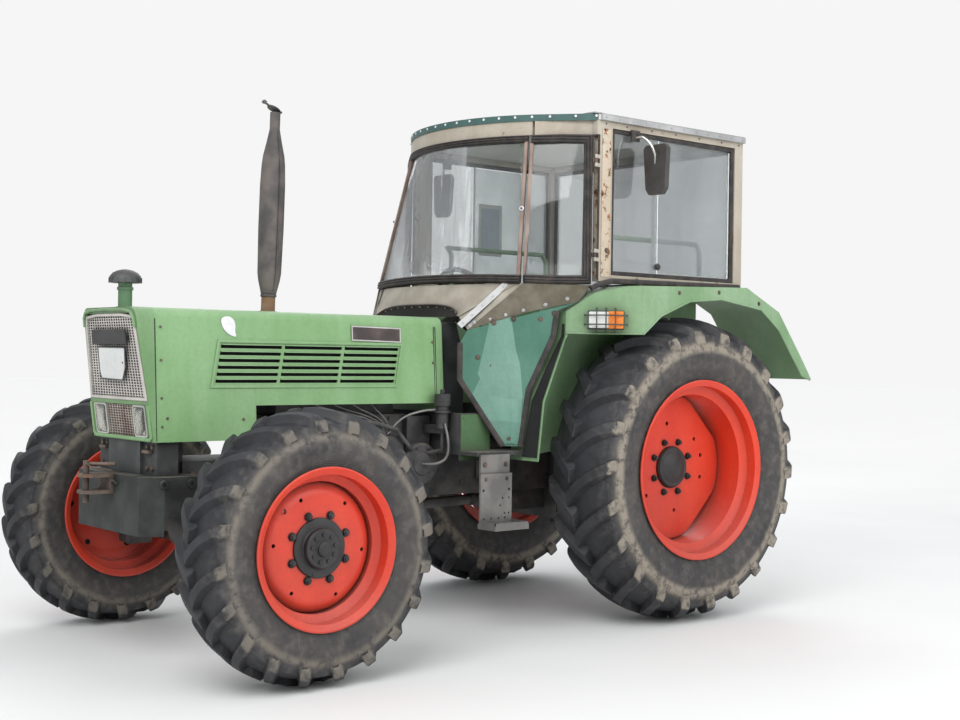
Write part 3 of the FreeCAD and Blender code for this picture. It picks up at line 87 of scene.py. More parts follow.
def feed(tree, socket, value):
    if isinstance(value, Value):
        tree.links.new(value.socket, socket)
    elif isinstance(value, (tuple, list)) and len(value) == 3 and len(socket.default_value) == 4:
        socket.default_value = (*value, 1.0)
    else:
        socket.default_value = value


class Value:
    """A number in a material's tree, so that sums of numbers read as plain sums."""

    def __init__(self, tree, socket):
        self.tree = tree
        self.socket = socket

    def math(self, operation, other, swap=False):
        node = self.tree.nodes.new("ShaderNodeMath")
        node.operation = operation
        terms = (other, self) if swap else (self, other)
        for socket, term in zip(node.inputs, terms):
            feed(self.tree, socket, term)
        return Value(self.tree, node.outputs[0])

    def __add__(self, other):
        return self.math("ADD", other)

    def __sub__(self, other):
        return self.math("SUBTRACT", other)

    def __rsub__(self, other):
        return self.math("SUBTRACT", other, swap=True)

    def __mul__(self, other):
        return self.math("MULTIPLY", other)

    def __pow__(self, other):
        return self.math("POWER", other)

    def most(self, other):
        return self.math("MAXIMUM", other)

    def least(self, other):
        return self.math("MINIMUM", other)

    __radd__ = __add__
    __rmul__ = __mul__


def coloured(tree, kind, colour):
    node = tree.nodes.new("ShaderNode" + kind)
    node.inputs["Color"].default_value = (*colour, 1.0)
    return node


def blend(tree, share, first, second):
    """One shader over another by a share."""
    node = tree.nodes.new("ShaderNodeMixShader")
    feed(tree, node.inputs[0], share)
    tree.links.new(first.outputs[0], node.inputs[1])
    tree.links.new(second.outputs[0], node.inputs[2])
    return node


def end_at(tree, shader, kind="Material"):
    out = tree.nodes.new("ShaderNodeOutput" + kind)
    tree.links.new(shader.outputs[0], out.inputs[0])


class Surface:
    """A material: its tree, the rest-frame place of each point, and its shader."""

    def __init__(self, name):
        self.material = bpy.data.materials.new(name)
        self.material.use_nodes = True
        self.tree = self.material.node_tree
        self.tree.nodes.clear()
        self.place = self.node("TexCoord", out="Object")
        self.up = self.split(self.node("NewGeometry", out="Normal"))[2]
        self.x, self.y, self.z = self.split(self.place)

    def node(self, kind, settings=None, out=0, **inputs):
        node = self.tree.nodes.new("ShaderNode" + kind)
        for key, value in (settings or {}).items():
            setattr(node, key, value)
        for key, value in inputs.items():
            feed(self.tree, node.inputs[key.replace("_", " ")], value)
        return Value(self.tree, node.outputs[out])

    def split(self, vector):
        node = self.tree.nodes.new("ShaderNodeSeparateXYZ")
        feed(self.tree, node.inputs[0], vector)
        return [Value(self.tree, socket) for socket in node.outputs]

    def mix(self, share, first, second):
        node = self.tree.nodes.new("ShaderNodeMix")
        node.data_type = "RGBA"
        for place, value in ((0, share), (6, first), (7, second)):
            feed(self.tree, node.inputs[place], value)
        return Value(self.tree, node.outputs[2])

    def noise(self, scale, detail, stretch=(1.0, 1.0, 1.0), rough=0.55):
        node = self.tree.nodes.new("ShaderNodeVectorMath")
        node.operation = "MULTIPLY"
        feed(self.tree, node.inputs[0], self.place)
        node.inputs[1].default_value = stretch
        return self.node("TexNoise", Vector=Value(self.tree, node.outputs[0]), Scale=scale, Detail=detail,
                         Roughness=rough)

    def band(self, value, start, end):
        """0 where value is under start, 1 over end, and a soft step between."""
        return self.node("MapRange", {"interpolation_type": "SMOOTHSTEP"}, Value=value, From_Min=start,
                         From_Max=end)

    def corners(self, reach):
        """1 in corners and under ledges, where shade falls, 0 on open faces: an occlusion mask for painted
        shade and for rust in crevices.
        """
        return 1 - self.node("AmbientOcclusion", {"samples": 4}, out="AO", Distance=reach)

    def finish(self, colour, roughness, metallic=0.0, height=None, relief=0.001, **fixed):
        shader = self.tree.nodes.new("ShaderNodeBsdfPrincipled")
        feed(self.tree, shader.inputs["Base Color"], colour)
        feed(self.tree, shader.inputs["Roughness"], roughness)
        feed(self.tree, shader.inputs["Metallic"], metallic)
        for key, value in fixed.items():
            feed(self.tree, shader.inputs[key.replace("_", " ")], value)
        if height is not None:
            bump = self.node("Bump", out="Normal", Height=height, Distance=relief, Strength=1.0)
            feed(self.tree, shader.inputs["Normal"], bump)
        end_at(self.tree, shader)
        return self


RUST_DARK = (0.075, 0.028, 0.014)
RUST_LIGHT = (0.36, 0.14, 0.05)
DUST = (0.20, 0.175, 0.14)


def painted(name, base, faded, rust=0.0, dust=0.25, rough=0.42, chips=0.02, streak=0.5):
    """Old sprayed sheet: fading in clouds and runs, painted light on the tops, chips with rust, painted
    shade in the corners and dirt splashed low down.
    """
    s = Surface(name)
    cloud = s.noise(2.1, 5.0)
    runs = s.noise(7.0, 4.0, (1.0, 1.0, 0.14))
    fine = s.noise(55.0, 4.0)
    fade = s.band(cloud * (1 - streak) + runs * streak, 0.36, 0.66)
    colour = s.mix(fade, base, faded)
    # up-facing faces are mixed towards a paler paint: painted sky light on the tops
    colour = s.mix(s.band(s.up, 0.2, 0.95) * 0.35, colour, tuple(0.62 * c + 0.20 for c in faded))
    colour = s.mix(s.band(fine, 0.35, 0.75) * 0.16, colour, tuple(c * 0.55 for c in base))
    spots = s.noise(16.0, 9.0, rough=0.68)
    edge = 1 - rust
    corrosion = s.band(spots + s.corners(0.03) * 0.16, 0.50 + 0.26 * edge, 0.56 + 0.28 * edge)
    rusty = s.mix(s.band(s.noise(38.0, 5.0), 0.38, 0.66), RUST_DARK, RUST_LIGHT)
    colour = s.mix(corrosion, colour, rusty)
    scratch = s.band(s.noise(120.0, 2.0, (0.25, 0.25, 1.0)), 0.78 - chips, 0.82 - chips)
    colour = s.mix(scratch * 0.7, colour, tuple(0.4 * c for c in base))
    # painted shade: the occlusion mask darkens corners towards a dark dust tone; dust sets both this painted
    # shade and the dirt splashed low down
    splash = s.band(s.z * -1.0, -1.0, -0.4) * dust * s.noise(5.0, 4.0)
    corner_shade_and_splash = (s.corners(0.06) * 1.4).least(1.0) * dust + splash
    colour = s.mix(corner_shade_and_splash.least(0.85), colour, tuple(0.35 * d for d in DUST))
    roughness = rough + fade * 0.16 + corrosion * 0.3
    return s.finish(colour, roughness, height=fine * 0.35 + corrosion * -0.5 + cloud, relief=0.0012)


def iron(name, base, worn, rough=0.55, rust=0.3, dust=0.35, metallic=0.0, grain=130.0):
    """Cast or forged iron under old dark paint, oil and dust, with painted shade in its corners."""
    s = Surface(name)
    lumps = s.noise(9.0, 6.0)
    fine = s.noise(grain, 3.0)
    colour = s.mix(s.band(lumps, 0.35, 0.68), base, worn)
    rusty = s.mix(s.band(fine, 0.35, 0.65), RUST_DARK, tuple(0.7 * c for c in RUST_LIGHT))
    colour = s.mix(s.band(s.noise(12.0, 8.0, rough=0.7), 0.74 - 0.22 * rust, 0.80 - 0.18 * rust) * 0.85,
                   colour, rusty)
    colour = s.mix(s.band(s.up, 0.1, 0.9) * dust * s.band(s.noise(6.0, 4.0), 0.3, 0.6), colour, DUST)
    # painted shade: the occlusion mask darkens corners and crevices towards a darker copy of the base colour
    colour = s.mix((s.corners(0.05) * 1.3).least(0.8), colour, tuple(0.35 * c for c in base))
    return s.finish(colour, rough + lumps * 0.25, metallic, height=fine * 0.5 + lumps, relief=0.0015)


def plastic(name, base, rough=0.5, worn=0.25):
    """Moulded plastic or rubber: fine grain, greyed where the sun and hands reach."""
    s = Surface(name)
    fine = s.noise(220.0, 2.0)
    cloud = s.noise(8.0, 4.0)
    colour = s.mix(s.band(cloud, 0.35, 0.7) * worn, base, tuple(c * 0.5 + 0.10 for c in base))
    colour = s.mix(s.band(s.up, 0.3, 0.95) * 0.3, colour, tuple(0.5 * d for d in DUST))
    return s.finish(colour, rough + cloud * 0.2, height=fine, relief=0.0004)


class Form:
    """Points and faces gathered for one piece."""

    def __init__(self):
        self.points = []
        self.faces = []

    def loft(self, rings, closed=True, loop=False, ends=True):
        start, count, size = len(self.points), len(rings), len(rings[0])
        for ring in rings:
            self.points.extend(Vector(p) for p in ring)
        for i in range(count if loop else count - 1):
            a, b = start + i * size, start + (i + 1) % count * size
            for j in range(size if closed else size - 1):
                k = (j + 1) % size
                self.faces.append((a + j, a + k, b + k, b + j))
        if ends and closed and not loop:
            self.faces.append(tuple(range(start + size - 1, start - 1, -1)))
            last = start + (count - 1) * size
            self.faces.append(tuple(range(last, last + size)))
        return self

    def box(self, x0, x1, y0, y1, z0, z1):
        return self.loft([[(x, y0, z0), (x, y1, z0), (x, y1, z1), (x, y0, z1)] for x in (x0, x1)])

    def turned(self, profile, centre, axis="X", steps=48, loop=True):
        """A (along, radius) outline turned about an axis; loop joins its last point to its first."""
        rings = []
        for i in range(steps):
            c, s = math.cos(math.tau * i / steps), math.sin(math.tau * i / steps)
            spots = {"X": [(a, r * s, r * c) for a, r in profile],
                     "Z": [(r * c, r * s, a) for a, r in profile],
                     "Y": [(r * c, a, -r * s) for a, r in profile]}[axis]
            rings.append([Vector(centre) + Vector(p) for p in spots])
        return self.loft(rings, closed=loop, loop=True)

    def collar(self, start, end, inner, outer, centre, axis="X", steps=48):
        """A ring between two places along an axis, or a full drum where inner is 0."""
        rows = [(start, inner), (start, outer), (end, outer), (end, inner)]
        return self.turned(rows, centre, axis, steps, loop=inner > 0)

    def tube(self, path, radius, sides=10, loop=False):
        """A tube through path; radius may be a list."""
        path = [Vector(p) for p in path]
        count = len(path)
        radii = radius if isinstance(radius, (list, tuple)) else [radius] * count
        side = None
        rings = []
        for i, p in enumerate(path):
            ahead = path[(i + 1) % count] if loop or i + 1 < count else p
            behind = path[i - 1] if loop or i else p
            along = (ahead - behind).normalized()
            if side is None:
                side = along.orthogonal().normalized()
            side = (side - along * side.dot(along)).normalized()
            other = along.cross(side)
            ring = []
            for j in range(sides):
                a = math.tau * j / sides
                ring.append(p + (side * math.cos(a) + other * math.sin(a)) * radii[i])
            rings.append(ring)
        return self.loft(rings, loop=loop)

    def sweep(self, path, section, normals, loop=False):
        """A section of (across, out) points along path; out follows the normals given."""
        path = [Vector(p) for p in path]
        count = len(path)
        rings = []
        for i, p in enumerate(path):
            ahead = path[(i + 1) % count] if loop or i + 1 < count else p
            behind = path[i - 1] if loop or i else p
            a, b = (ahead - p), (p - behind)
            along = (a.normalized() + b.normalized()).normalized()
            out = Vector(normals[i] if isinstance(normals, list) else normals)
            out = (out - along * out.dot(along)).normalized()
            across = along.cross(out)
            turn = a.normalized().dot(b.normalized()) if a.length and b.length else 1.0
            # sharp corners widen the section, up to a limit
            wide = min(1.0 / math.sqrt(max((1.0 + turn) / 2.0, 0.2)), 1.6)
            rings.append([p + across * u * wide + out * v for u, v in section])
        return self.loft(rings, loop=loop)

    def slab(self, corners, along):
        """A flat polygon pushed along a vector."""
        along = Vector(along)
        return self.loft([[Vector(p) for p in corners], [Vector(p) + along for p in corners]])

    def bolt(self, at, axis, radius=0.009, high=0.007, sides=6, washer=1.35):
        """A hexagon head on a washer, standing along axis."""
        at, axis = Vector(at), Vector(axis).normalized()
        side = axis.orthogonal().normalized()
        other = axis.cross(side)
        turn = random.random()

        def ring(size, lift, number):
            spots = []
            for i in range(number):
                a = turn + math.tau * i / number
                spots.append(at + axis * lift + (side * math.cos(a) + other * math.sin(a)) * size)
            return spots
        if washer:
            self.loft([ring(radius * washer, -0.001, 14), ring(radius * washer, high * 0.25, 14)])
        self.loft([ring(radius, 0.0, sides), ring(radius, high * 0.85, sides),
                   ring(radius * 0.82, high, sides)])
        return self

    def rivet(self, at, axis, radius=0.005):
        return self.bolt(at, axis, radius, radius * 0.6, 10, 0)

    def add(self, other, matrix=Matrix()):
        start = len(self.points)
        self.points.extend(matrix @ p for p in other.points)
        self.faces.extend(tuple(start + i for i in face) for face in other.faces)
        return self

    def mirrored(self):
        """Itself with its copy on the other side of the tractor."""
        copy = Form().add(self, Matrix.Diagonal((-1, 1, 1, 1)))
        return self.add(copy)


def settle(obj, smooth):
    """Puts the modifiers into the mesh, then shades flat faces flat and round ones round."""
    if obj.modifiers:
        graph = bpy.context.evaluated_depsgraph_get()
        baked = bpy.data.meshes.new_from_object(obj.evaluated_get(graph))
        obj.modifiers.clear()
        obj.data = baked
    obj.data.shade_smooth()
    obj.data.set_sharp_from_angle(angle=math.radians(smooth))
    weighted = obj.modifiers.new("faces", "WEIGHTED_NORMAL")
    weighted.keep_sharp = True


def shaped(name, form):
    """The form as an object at the axle's place, its shared points joined."""
    mesh = bpy.data.meshes.new(name)
    mesh.from_pydata(form.points, [], form.faces)
    mesh.transform(Matrix.Translation((0, AXLE_Y, 0)))
    tidy = bmesh.new()
    tidy.from_mesh(mesh)
    bmesh.ops.remove_doubles(tidy, verts=tidy.verts, dist=1e-6)
    bmesh.ops.recalc_face_normals(tidy, faces=tidy.faces)
    tidy.to_mesh(mesh)
    tidy.free()
    obj = bpy.data.objects.new(name, mesh)
    bpy.context.scene.collection.objects.link(obj)
    return obj


def rounded(obj, width, steps):
    edge = obj.modifiers.new("edge", "BEVEL")
    edge.width = width
    edge.segments = steps
    edge.angle_limit = math.radians(32)


def piece(name, form, finish, body="chassis", replaced=(), bevel=0.0, steps=2, solid=0.0, smooth=38,
          cut=None):
    obj = shaped(name, form)
    obj.data.materials.append(finish.material)
    if solid:
        sheet = obj.modifiers.new("sheet", "SOLIDIFY")
        sheet.thickness = solid
        sheet.offset = -1.0
    if cut:
        tool = shaped(name + "_cut", cut)
        boolean = obj.modifiers.new("cut", "BOOLEAN")
        boolean.object = tool
        boolean.solver = "EXACT"
    if bevel:
        rounded(obj, bevel, steps)
    settle(obj, smooth)
    if cut:
        bpy.data.objects.remove(tool)
    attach(obj, body)
    if replaced:
        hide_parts(*replaced)
    return obj


def dress(nodes, finish, width=0.003, steps=2):
    """Keeps a node's own solid, with rounded edges and its finish."""
    for name in nodes.split():
        obj = frame["nodes"][name]
        obj.data.materials.clear()
        obj.data.materials.append(finish.material)
        if "custom_normal" in obj.data.attributes:
            obj.data.attributes.remove(obj.data.attributes["custom_normal"])
        obj.data.shade_smooth()
        weld = obj.modifiers.new("weld", "WELD")
        weld.merge_threshold = 1e-5
        flat = obj.modifiers.new("flat", "DECIMATE")
        flat.decimate_type = "DISSOLVE"
        flat.angle_limit = math.radians(0.8)
        if width:
            rounded(obj, width, steps)
        obj.modifiers.new("faces", "WEIGHTED_NORMAL")


SIDES = ((1, "left"), (-1, "right"))


def flip(side):
    """The turn of a left-hand form to the given side."""
    return Matrix.Diagonal((side, 1, 1, 1))


def flat_section(wide, low, high):
    """A strip's section: its half width, foot and top."""
    return [(-wide, low), (-wide, high), (wide, high), (wide, low)]


def bead_section(wide, narrow, low, shoulder, high):
    """A section with both upper corners cut off."""
    return [(-wide, low), (-wide, shoulder), (-narrow, high), (narrow, high), (wide, shoulder), (wide, low)]


def smoothed(points, loop=False):
    """Corner cutting in two rounds, each of which turns every corner into two."""
    points = [Vector(p) for p in points]
    for _ in range(2):
        out = [] if loop else [points[0]]
        last = len(points) if loop else len(points) - 1
        for i in range(last):
            a, b = points[i], points[(i + 1) % len(points)]
            out += [a.lerp(b, 0.25), a.lerp(b, 0.75)]
        points = out if loop else out + [points[-1]]
    return points


white = Surface("floor_pale")
far = white.band((white.x * white.x + white.y * white.y) ** 0.5, 4.0, 16.0)
white.finish(white.mix(white.band(white.noise(0.7, 3.0), 0.3, 0.7), (0.80, 0.80, 0.79), (0.83, 0.83, 0.82)),
             0.75, Emission_Color=white.mix(far, (0.0, 0.0, 0.0), (0.37, 0.36, 0.345)),
             Emission_Strength=1.0)
floor_mesh = bpy.data.meshes.new("floor")
floor_mesh.from_pydata([(-60, -60, 0), (60, -60, 0), (60, 60, 0), (-60, 60, 0)], [], [(0, 1, 2, 3)])
floor_mesh.materials.append(white.material)
floor = bpy.data.objects.new("floor", floor_mesh)
bpy.context.scene.collection.objects.link(floor)

world = bpy.data.worlds.new("studio")
bpy.context.scene.world = world
world.use_nodes = True
sky = world.node_tree
sky.nodes.clear()
ray = sky.nodes.new("ShaderNodeLightPath")
seen = Value(sky, ray.outputs["Is Camera Ray"]).most(Value(sky, ray.outputs["Is Transmission Ray"]))
backdrop = coloured(sky, "Background", (1.0, 1.0, 1.0))
backdrop.inputs["Strength"].default_value = 0.92
ambient = coloured(sky, "Background", (0.94, 0.97, 1.0))
ambient.inputs["Strength"].default_value = 0.70
end_at(sky, blend(sky, seen, ambient, backdrop), "World")

# columns: name, place, what it points to, size, watts
for name, place, target, size, watts in (
    ("key", (4.5, -6.5, 7.5), (0, -0.8, 1.0), 6.0, 580),
    ("fill", (7.5, 1.5, 4.0), (0, 0, 1.0), 6.0, 240),
    ("back", (-6.5, 5.0, 7.0), (0, 0, 1.0), 7.0, 350),
):
    lamp = bpy.data.objects.new(name, bpy.data.lights.new(name, "AREA"))
    bpy.context.scene.collection.objects.link(lamp)
    lamp.data.energy = watts
    lamp.data.size = size
    lamp.location = place
    lamp.rotation_euler = (Vector(target) - Vector(place)).to_track_quat("-Z", "Y").to_euler()


# Tyres: cleated rubber, dusty on the sidewalls and on the lugs' ends, pressed on the rims
# columns: radius, tread half width, bulge half width, bead half width, flange radius, lugs a
# side, lug height, lug thickness, lean at the middle and at the shoulder in degrees, fall of the
# tread at the shoulder, reach of the lugs down the sidewall
TYRES = {"front": (0.560, 0.146, 0.1575, 0.1307, 0.330, 20, 0.032, 0.036, 50.0, 30.0, 0.034, 0.055),
         "rear": (0.775, 0.200, 0.215, 0.1757, 0.457, 22, 0.038, 0.046, 48.0, 28.0, 0.058, 0.075),}
# columns: share of the tread half width at the lug's top, fall down the sidewall, share at its
# foot, depth of the foot in lug heights, width as a share
LUG_RINGS = [(-0.07, 0.04, -0.10, 1.10, 0.90), (-0.05, 0.0, -0.08, 1.10, 1.0), (0.15, 0.0, 0.13, 1.10, 1.0),
             (0.35, 0.0, 0.34, 1.10, 1.0), (0.55, 0.0, 0.54, 1.12, 1.03), (0.75, 0.0, 0.74, 1.18, 1.08),
             (0.88, 0.01, 0.87, 1.25, 1.16), (0.965, 0.06, 0.94, 1.35, 1.24), (1.02, 0.18, 0.96, 1.35, 1.30),
             (1.045, 0.36, 0.97, 1.20, 1.26), (1.055, 0.60, 0.98, 0.95, 1.14),
             (1.055, 0.86, 0.99, 0.60, 1.00), (1.035, 0.98, 0.985, 0.35, 0.90),
             (0.97, 1.04, 0.96, 0.25, 0.80)]
WHEEL_PLACES = {"front": (0.874, -2.330, 0.560), "rear": (0.740, 0.0, 0.775)}


def tyre_form(radius, tread, bulge, bead, flange, lugs, high, thick, lean, lean_out, drop, fall):
    crown = radius - high
    shoulder = crown - drop
    low = flange + 0.006
    wall = []
    for i in range(15):
        t = i / 14
        swell = (bulge - (bead + tread) / 2) * 4 * t * (1 - t)
        rib = 0.0012 if i in (2, 3) else 0.0
        wall.append((bead + (tread - 0.008 - bead) * t + swell + rib, low + (shoulder - 0.008 - low) * t))
    half = [(bead - 0.02, low - 0.03), (bead - 0.002, low - 0.012)] + wall
    half += [(tread * share, crown - drop * share ** 2) for share in (0.93, 0.75, 0.5, 0.25, 0.0)]
    form = Form()
    form.turned(half + [(-a, r) for a, r in half[-2::-1]], (0, 0, 0), steps=128)
    for side in (1, -1):
        for k in range(lugs):
            first = (k + (0.5 if side < 0 else 0.0)) * math.tau / lugs
            rings, turn, before = [], 0.0, 0.0
            for share, down, foot_share, foot, wide in LUG_RINGS:
                on_top = min(max(share, 0.0), 1.0)
                tilt = math.radians(lean + (lean_out - lean) * on_top)
                turn += math.tan(tilt) * (min(share, 1.0) - before) * tread / radius
                before = min(share, 1.0)
                half_wide = thick * wide / 2 / math.cos(tilt) / radius
                top = radius - drop * share ** 2 - fall * down
                base, mid = top - foot * high, top - high * 0.55 * min(foot, 1.0)
                a_top, a_foot = share * tread, foot_share * tread
                a_mid = a_top * 0.45 + a_foot * 0.55
                spots = [(a_foot, base, -1.75), (a_mid, mid, -1.16), (a_top, top - 0.004, -1.0),
                         (a_top, top, -0.86), (a_top, top, 0.86), (a_top, top - 0.004, 1.0),
                         (a_mid, mid, 1.16), (a_foot, base, 1.75)]
                ring = []
                for a, r, w in spots:
                    angle = first + turn + down * 0.035 + w * half_wide
                    ring.append((side * a, r * math.sin(angle), r * math.cos(angle)))
                rings.append(ring)
            form.loft(rings)
    return form


def tyre_surface(name, place, tread, flange, shoulder, fall):
    s = Surface(name)
    down, back = s.z - place[2], s.y - (place[1] + AXLE_Y)
    out = (down * down + back * back) ** 0.5
    aside = s.x.most(s.x * -1.0) - place[0]
    aside = aside.most(aside * -1.0)
    fine = s.noise(150.0, 3.0)
    cloud = s.noise(11.0, 6.0, rough=0.65)
    blotch = s.noise(6.0, 7.0, rough=0.7)
    colour = s.mix(s.band(cloud, 0.35, 0.7), (0.015, 0.0155, 0.018), (0.031, 0.031, 0.036))
    wall = s.band(out, shoulder + 0.004, shoulder - 0.03)
    colour = s.mix(wall * s.band(blotch, 0.25, 0.65) * 0.6, colour, (0.088, 0.076, 0.066))
    colour = s.mix(s.band(out, flange + 0.06, flange + 0.02) * 0.55, colour, (0.035, 0.034, 0.034))
    ends = s.band(aside, tread * 0.985, tread * 1.03)
    ends = ends * s.band(out, shoulder - fall - 0.02, shoulder - fall + 0.01)
    dusty = ends * s.band(s.noise(18.0, 6.0, rough=0.7), 0.34, 0.56)
    colour = s.mix(dusty * (0.85 if tread > 0.18 else 0.42), colour, (0.30, 0.26, 0.205))
    film = s.band(s.noise(26.0, 6.0), 0.42, 0.72) * s.band(aside, tread * 0.4, tread * 0.95)
    colour = s.mix(film * 0.30, colour, (0.17, 0.155, 0.135))
    ribs = s.node("Math", {"operation": "SINE"})
    feed(s.tree, ribs.socket.node.inputs[0], out * 900.0)
    near_bead = s.band(out, flange + 0.075, flange + 0.065)
    scuffs = s.noise(40.0, 8.0, rough=0.75)
    return s.finish(colour, 0.48 + cloud * 0.28, height=fine * 0.35 + scuffs * 0.7 + ribs * near_bead * 0.35,
                    relief=0.0016)


for kind, (half_track, hub_y, hub_z) in WHEEL_PLACES.items():
    radius, tread, _, _, flange, _, high, _, _, _, drop, fall = TYRES[kind]
    rubber = tyre_surface("tyre_rubber_" + kind, (half_track, hub_y, hub_z), tread, flange,
                          radius - high - drop, fall)
    form = tyre_form(*TYRES[kind])
    for side, end in SIDES:
        at = Matrix.Translation((side * half_track, hub_y, hub_z)) @ flip(side)
        name = f"{kind}_{end}"
        piece("rubber_" + name, Form().add(form, at), rubber, "wheel_" + name, ("tyre_" + name,),
              smooth=30)


# Wheels: rolled rims with welded discs in orange paint, black hubs, studs and nuts
orange = painted("rim_paint", (0.66, 0.034, 0.011), (0.74, 0.060, 0.022), rust=0.12, dust=0.4, rough=0.38,
                 chips=0.03)
hub_black = iron("hub_iron", (0.014, 0.014, 0.015), (0.035, 0.035, 0.037), rough=0.42, rust=0.15, dust=0.15)
# near-black stand-in for the shade inside holes, sockets and openings (painted shade), also used for the
# bonnet's dark seam lines
shade_and_seam_black = plastic("shade_and_seam_dark", (0.004, 0.004, 0.004), rough=0.85, worn=0.03)
STUD_CIRCLE = 0.1375
HOLE_POINTS = 64
# half of each rim's section from the outer lip inwards: along the axle, radius
RIMS = {"front": [(0.1445, 0.3215), (0.1450, 0.3260), (0.1430, 0.3295), (0.1380, 0.3300), (0.1330, 0.3270),
                  (0.1310, 0.3200), (0.1305, 0.3060), (0.0850, 0.3050), (0.0570, 0.2745), (0.0, 0.2740)],
        "rear": [(0.1895, 0.4480), (0.1900, 0.4530), (0.1880, 0.4565), (0.1830, 0.4570), (0.1780, 0.4540),
                 (0.1760, 0.4470), (0.1755, 0.4330), (0.1280, 0.4320), (0.1020, 0.3885), (0.0, 0.3880)],}


def rim_form(kind):
    outer = RIMS[kind]
    inner = []
    for i, (a, r) in enumerate(outer[6:]):
        inner.append((a - (0.004 if i == 1 else 0.0) + (0.003 if i == 2 else 0.0), r - 0.008))
    lip = [(outer[0][0] - 0.003, outer[0][1] - 0.004), (outer[5][0] + 0.006, outer[5][1] - 0.012)]
    right = outer[:-1]
    section = right + [(-a, r) for a, r in right[::-1]]
    back = [(-a, r) for a, r in lip] + [(-a, r) for a, r in inner[:-1]] + inner[-2::-1] + lip[::-1]
    return Form().turned(section + back, (0, 0, 0), steps=112)


def disc_holes(rows, face):
    cut = Form()
    for degrees, ring, radius in rows:
        a = math.radians(degrees)
        cut.collar(face - 0.05, face + 0.05, 0, radius, (0, ring * math.cos(a), ring * math.sin(a)),
                   steps=16)
    return cut


def studs(face, stand):
    form = Form()
    for i in range(8):
        a = math.radians(22.5 + 45 * i)
        at = (face, STUD_CIRCLE * math.cos(a), STUD_CIRCLE * math.sin(a))
        form.bolt(at, (1, 0, 0), 0.0150, 0.016, washer=1.2)
        form.turned([(0.0, 0), (0.0, 0.0085), (stand, 0.0085), (stand + 0.001, 0.0065), (stand + 0.001, 0)],
                    at, steps=10, loop=False)
    return form


for kind, (half_track, hub_y, hub_z) in WHEEL_PLACES.items():
    if kind == "front":
        face = 0.067
        disc = [(0.0, 0.2655), (0.022, 0.2655), (0.036, 0.2615), (0.050, 0.2500), (0.0600, 0.2380),
                (0.0655, 0.2250), (face, 0.2100), (face, 0.0), (0.058, 0.0), (0.058, 0.21), (0.048, 0.235),
                (0.030, 0.252), (0.0, 0.2575)]
        cut = disc_holes([(60 * i - 6, 0.212, 0.0085) for i in range(6)], face)
        hub = [(-0.02, 0.0), (-0.02, 0.100), (face - 0.012, 0.1210), (face + 0.008, 0.1210),
               (face + 0.011, 0.1180), (face + 0.012, 0.0860), (face + 0.016, 0.0820),
               (face + 0.034, 0.0790), (face + 0.038, 0.0750), (face + 0.038, 0.0340),
               (face + 0.041, 0.0310), (face + 0.048, 0.0300), (face + 0.052, 0.0240),
               (face + 0.053, 0.0120), (face + 0.051, 0.0)]
        stand = 0.020
    else:
        face = -0.034
        disc = [(-0.075, 0.3800), (-0.052, 0.3795), (-0.040, 0.3740), (face, 0.3600), (face, 0.0),
                (-0.046, 0.0), (-0.046, 0.358), (-0.056, 0.368), (-0.075, 0.372)]
        cut = disc_holes([(98, 0.228, 0.011), (38, 0.228, 0.010), (13, 0.238, 0.011), (-15, 0.238, 0.011),
                          (-82, 0.228, 0.010), (-142, 0.228, 0.010), (158, 0.228, 0.010),
                          (202, 0.228, 0.010)], face)
        for corner in (45, 135, 225, 315):
            wedge = Form().box(-0.11, 0.05, 0.337, 0.50, -0.33, 0.33)
            cut.add(wedge, Matrix.Rotation(math.radians(corner), 4, "X"))
        hub = [(-0.099, 0.0), (-0.099, 0.090), (-0.062, 0.160), (-0.048, 0.165), (-0.047, 0.110),
               (face + 0.006, 0.1090), (face + 0.012, 0.1060), (face + 0.020, 0.1000),
               (face + 0.023, 0.0880), (face + 0.021, 0.0820), (face + 0.030, 0.0640),
               (face + 0.035, 0.0400), (face + 0.037, 0.0150), (face + 0.034, 0.0060), (face + 0.034, 0.0)]
        stand = 0.024
    rim = rim_form(kind)
    plate = Form().turned(disc, (0, 0, 0), steps=96)
    middle = Form().turned(hub, (0, 0, 0), steps=56, loop=False)
    if kind == "front":
        for i in range(9):
            a = math.tau * (i + 0.3) / 9
            middle.bolt((face + 0.038, 0.055 * math.cos(a), 0.055 * math.sin(a)), (1, 0, 0), 0.0075, 0.006,
                        washer=1.25)
        middle.bolt((face + 0.010, -0.03, -0.102), (1, 0, 0), 0.006, 0.004, washer=1.3)
    # a near-black cup behind each disc hole: painted shade seen through the holes
    hole_shades = Form()
    for first in range(0, len(cut.points), HOLE_POINTS):
        if kind == "front" or first < 8 * HOLE_POINTS:
            at = sum(cut.points[first:first + HOLE_POINTS], Vector()) / HOLE_POINTS
            hole_shades.turned([(-0.016, 0.0), (-0.016, 0.0125), (-0.002, 0.0125)], (face, at.y, at.z), steps=16,
                        loop=False)
    nuts = studs(face, stand)
    valve = Form().tube([(face + 0.004, -0.162, 0.148), (face + 0.02, -0.170, 0.155),
                         (face + 0.032, -0.182, 0.166)], 0.004, 8)
    for side, end in SIDES:
        at = Matrix.Translation((side * half_track, hub_y, hub_z)) @ flip(side)
        body = f"wheel_{kind}_{end}"
        piece(f"rim_{kind}_{end}", Form().add(rim, at), orange, body, (body,), smooth=30)
        piece(f"disc_{kind}_{end}", Form().add(plate, at), orange, body, bevel=0.0015,
              smooth=30, cut=Form().add(cut, at))
        piece(f"hub_{kind}_{end}", Form().add(middle, at), hub_black, body, smooth=35)
        piece(f"nuts_{kind}_{end}", Form().add(nuts, at), hub_black, body, smooth=35)
        piece(f"cups_{kind}_{end}", Form().add(hole_shades, at), shade_and_seam_black, body)
        if kind == "front":
            piece(f"valve_{kind}_{end}", Form().add(valve, at), hub_black, body)


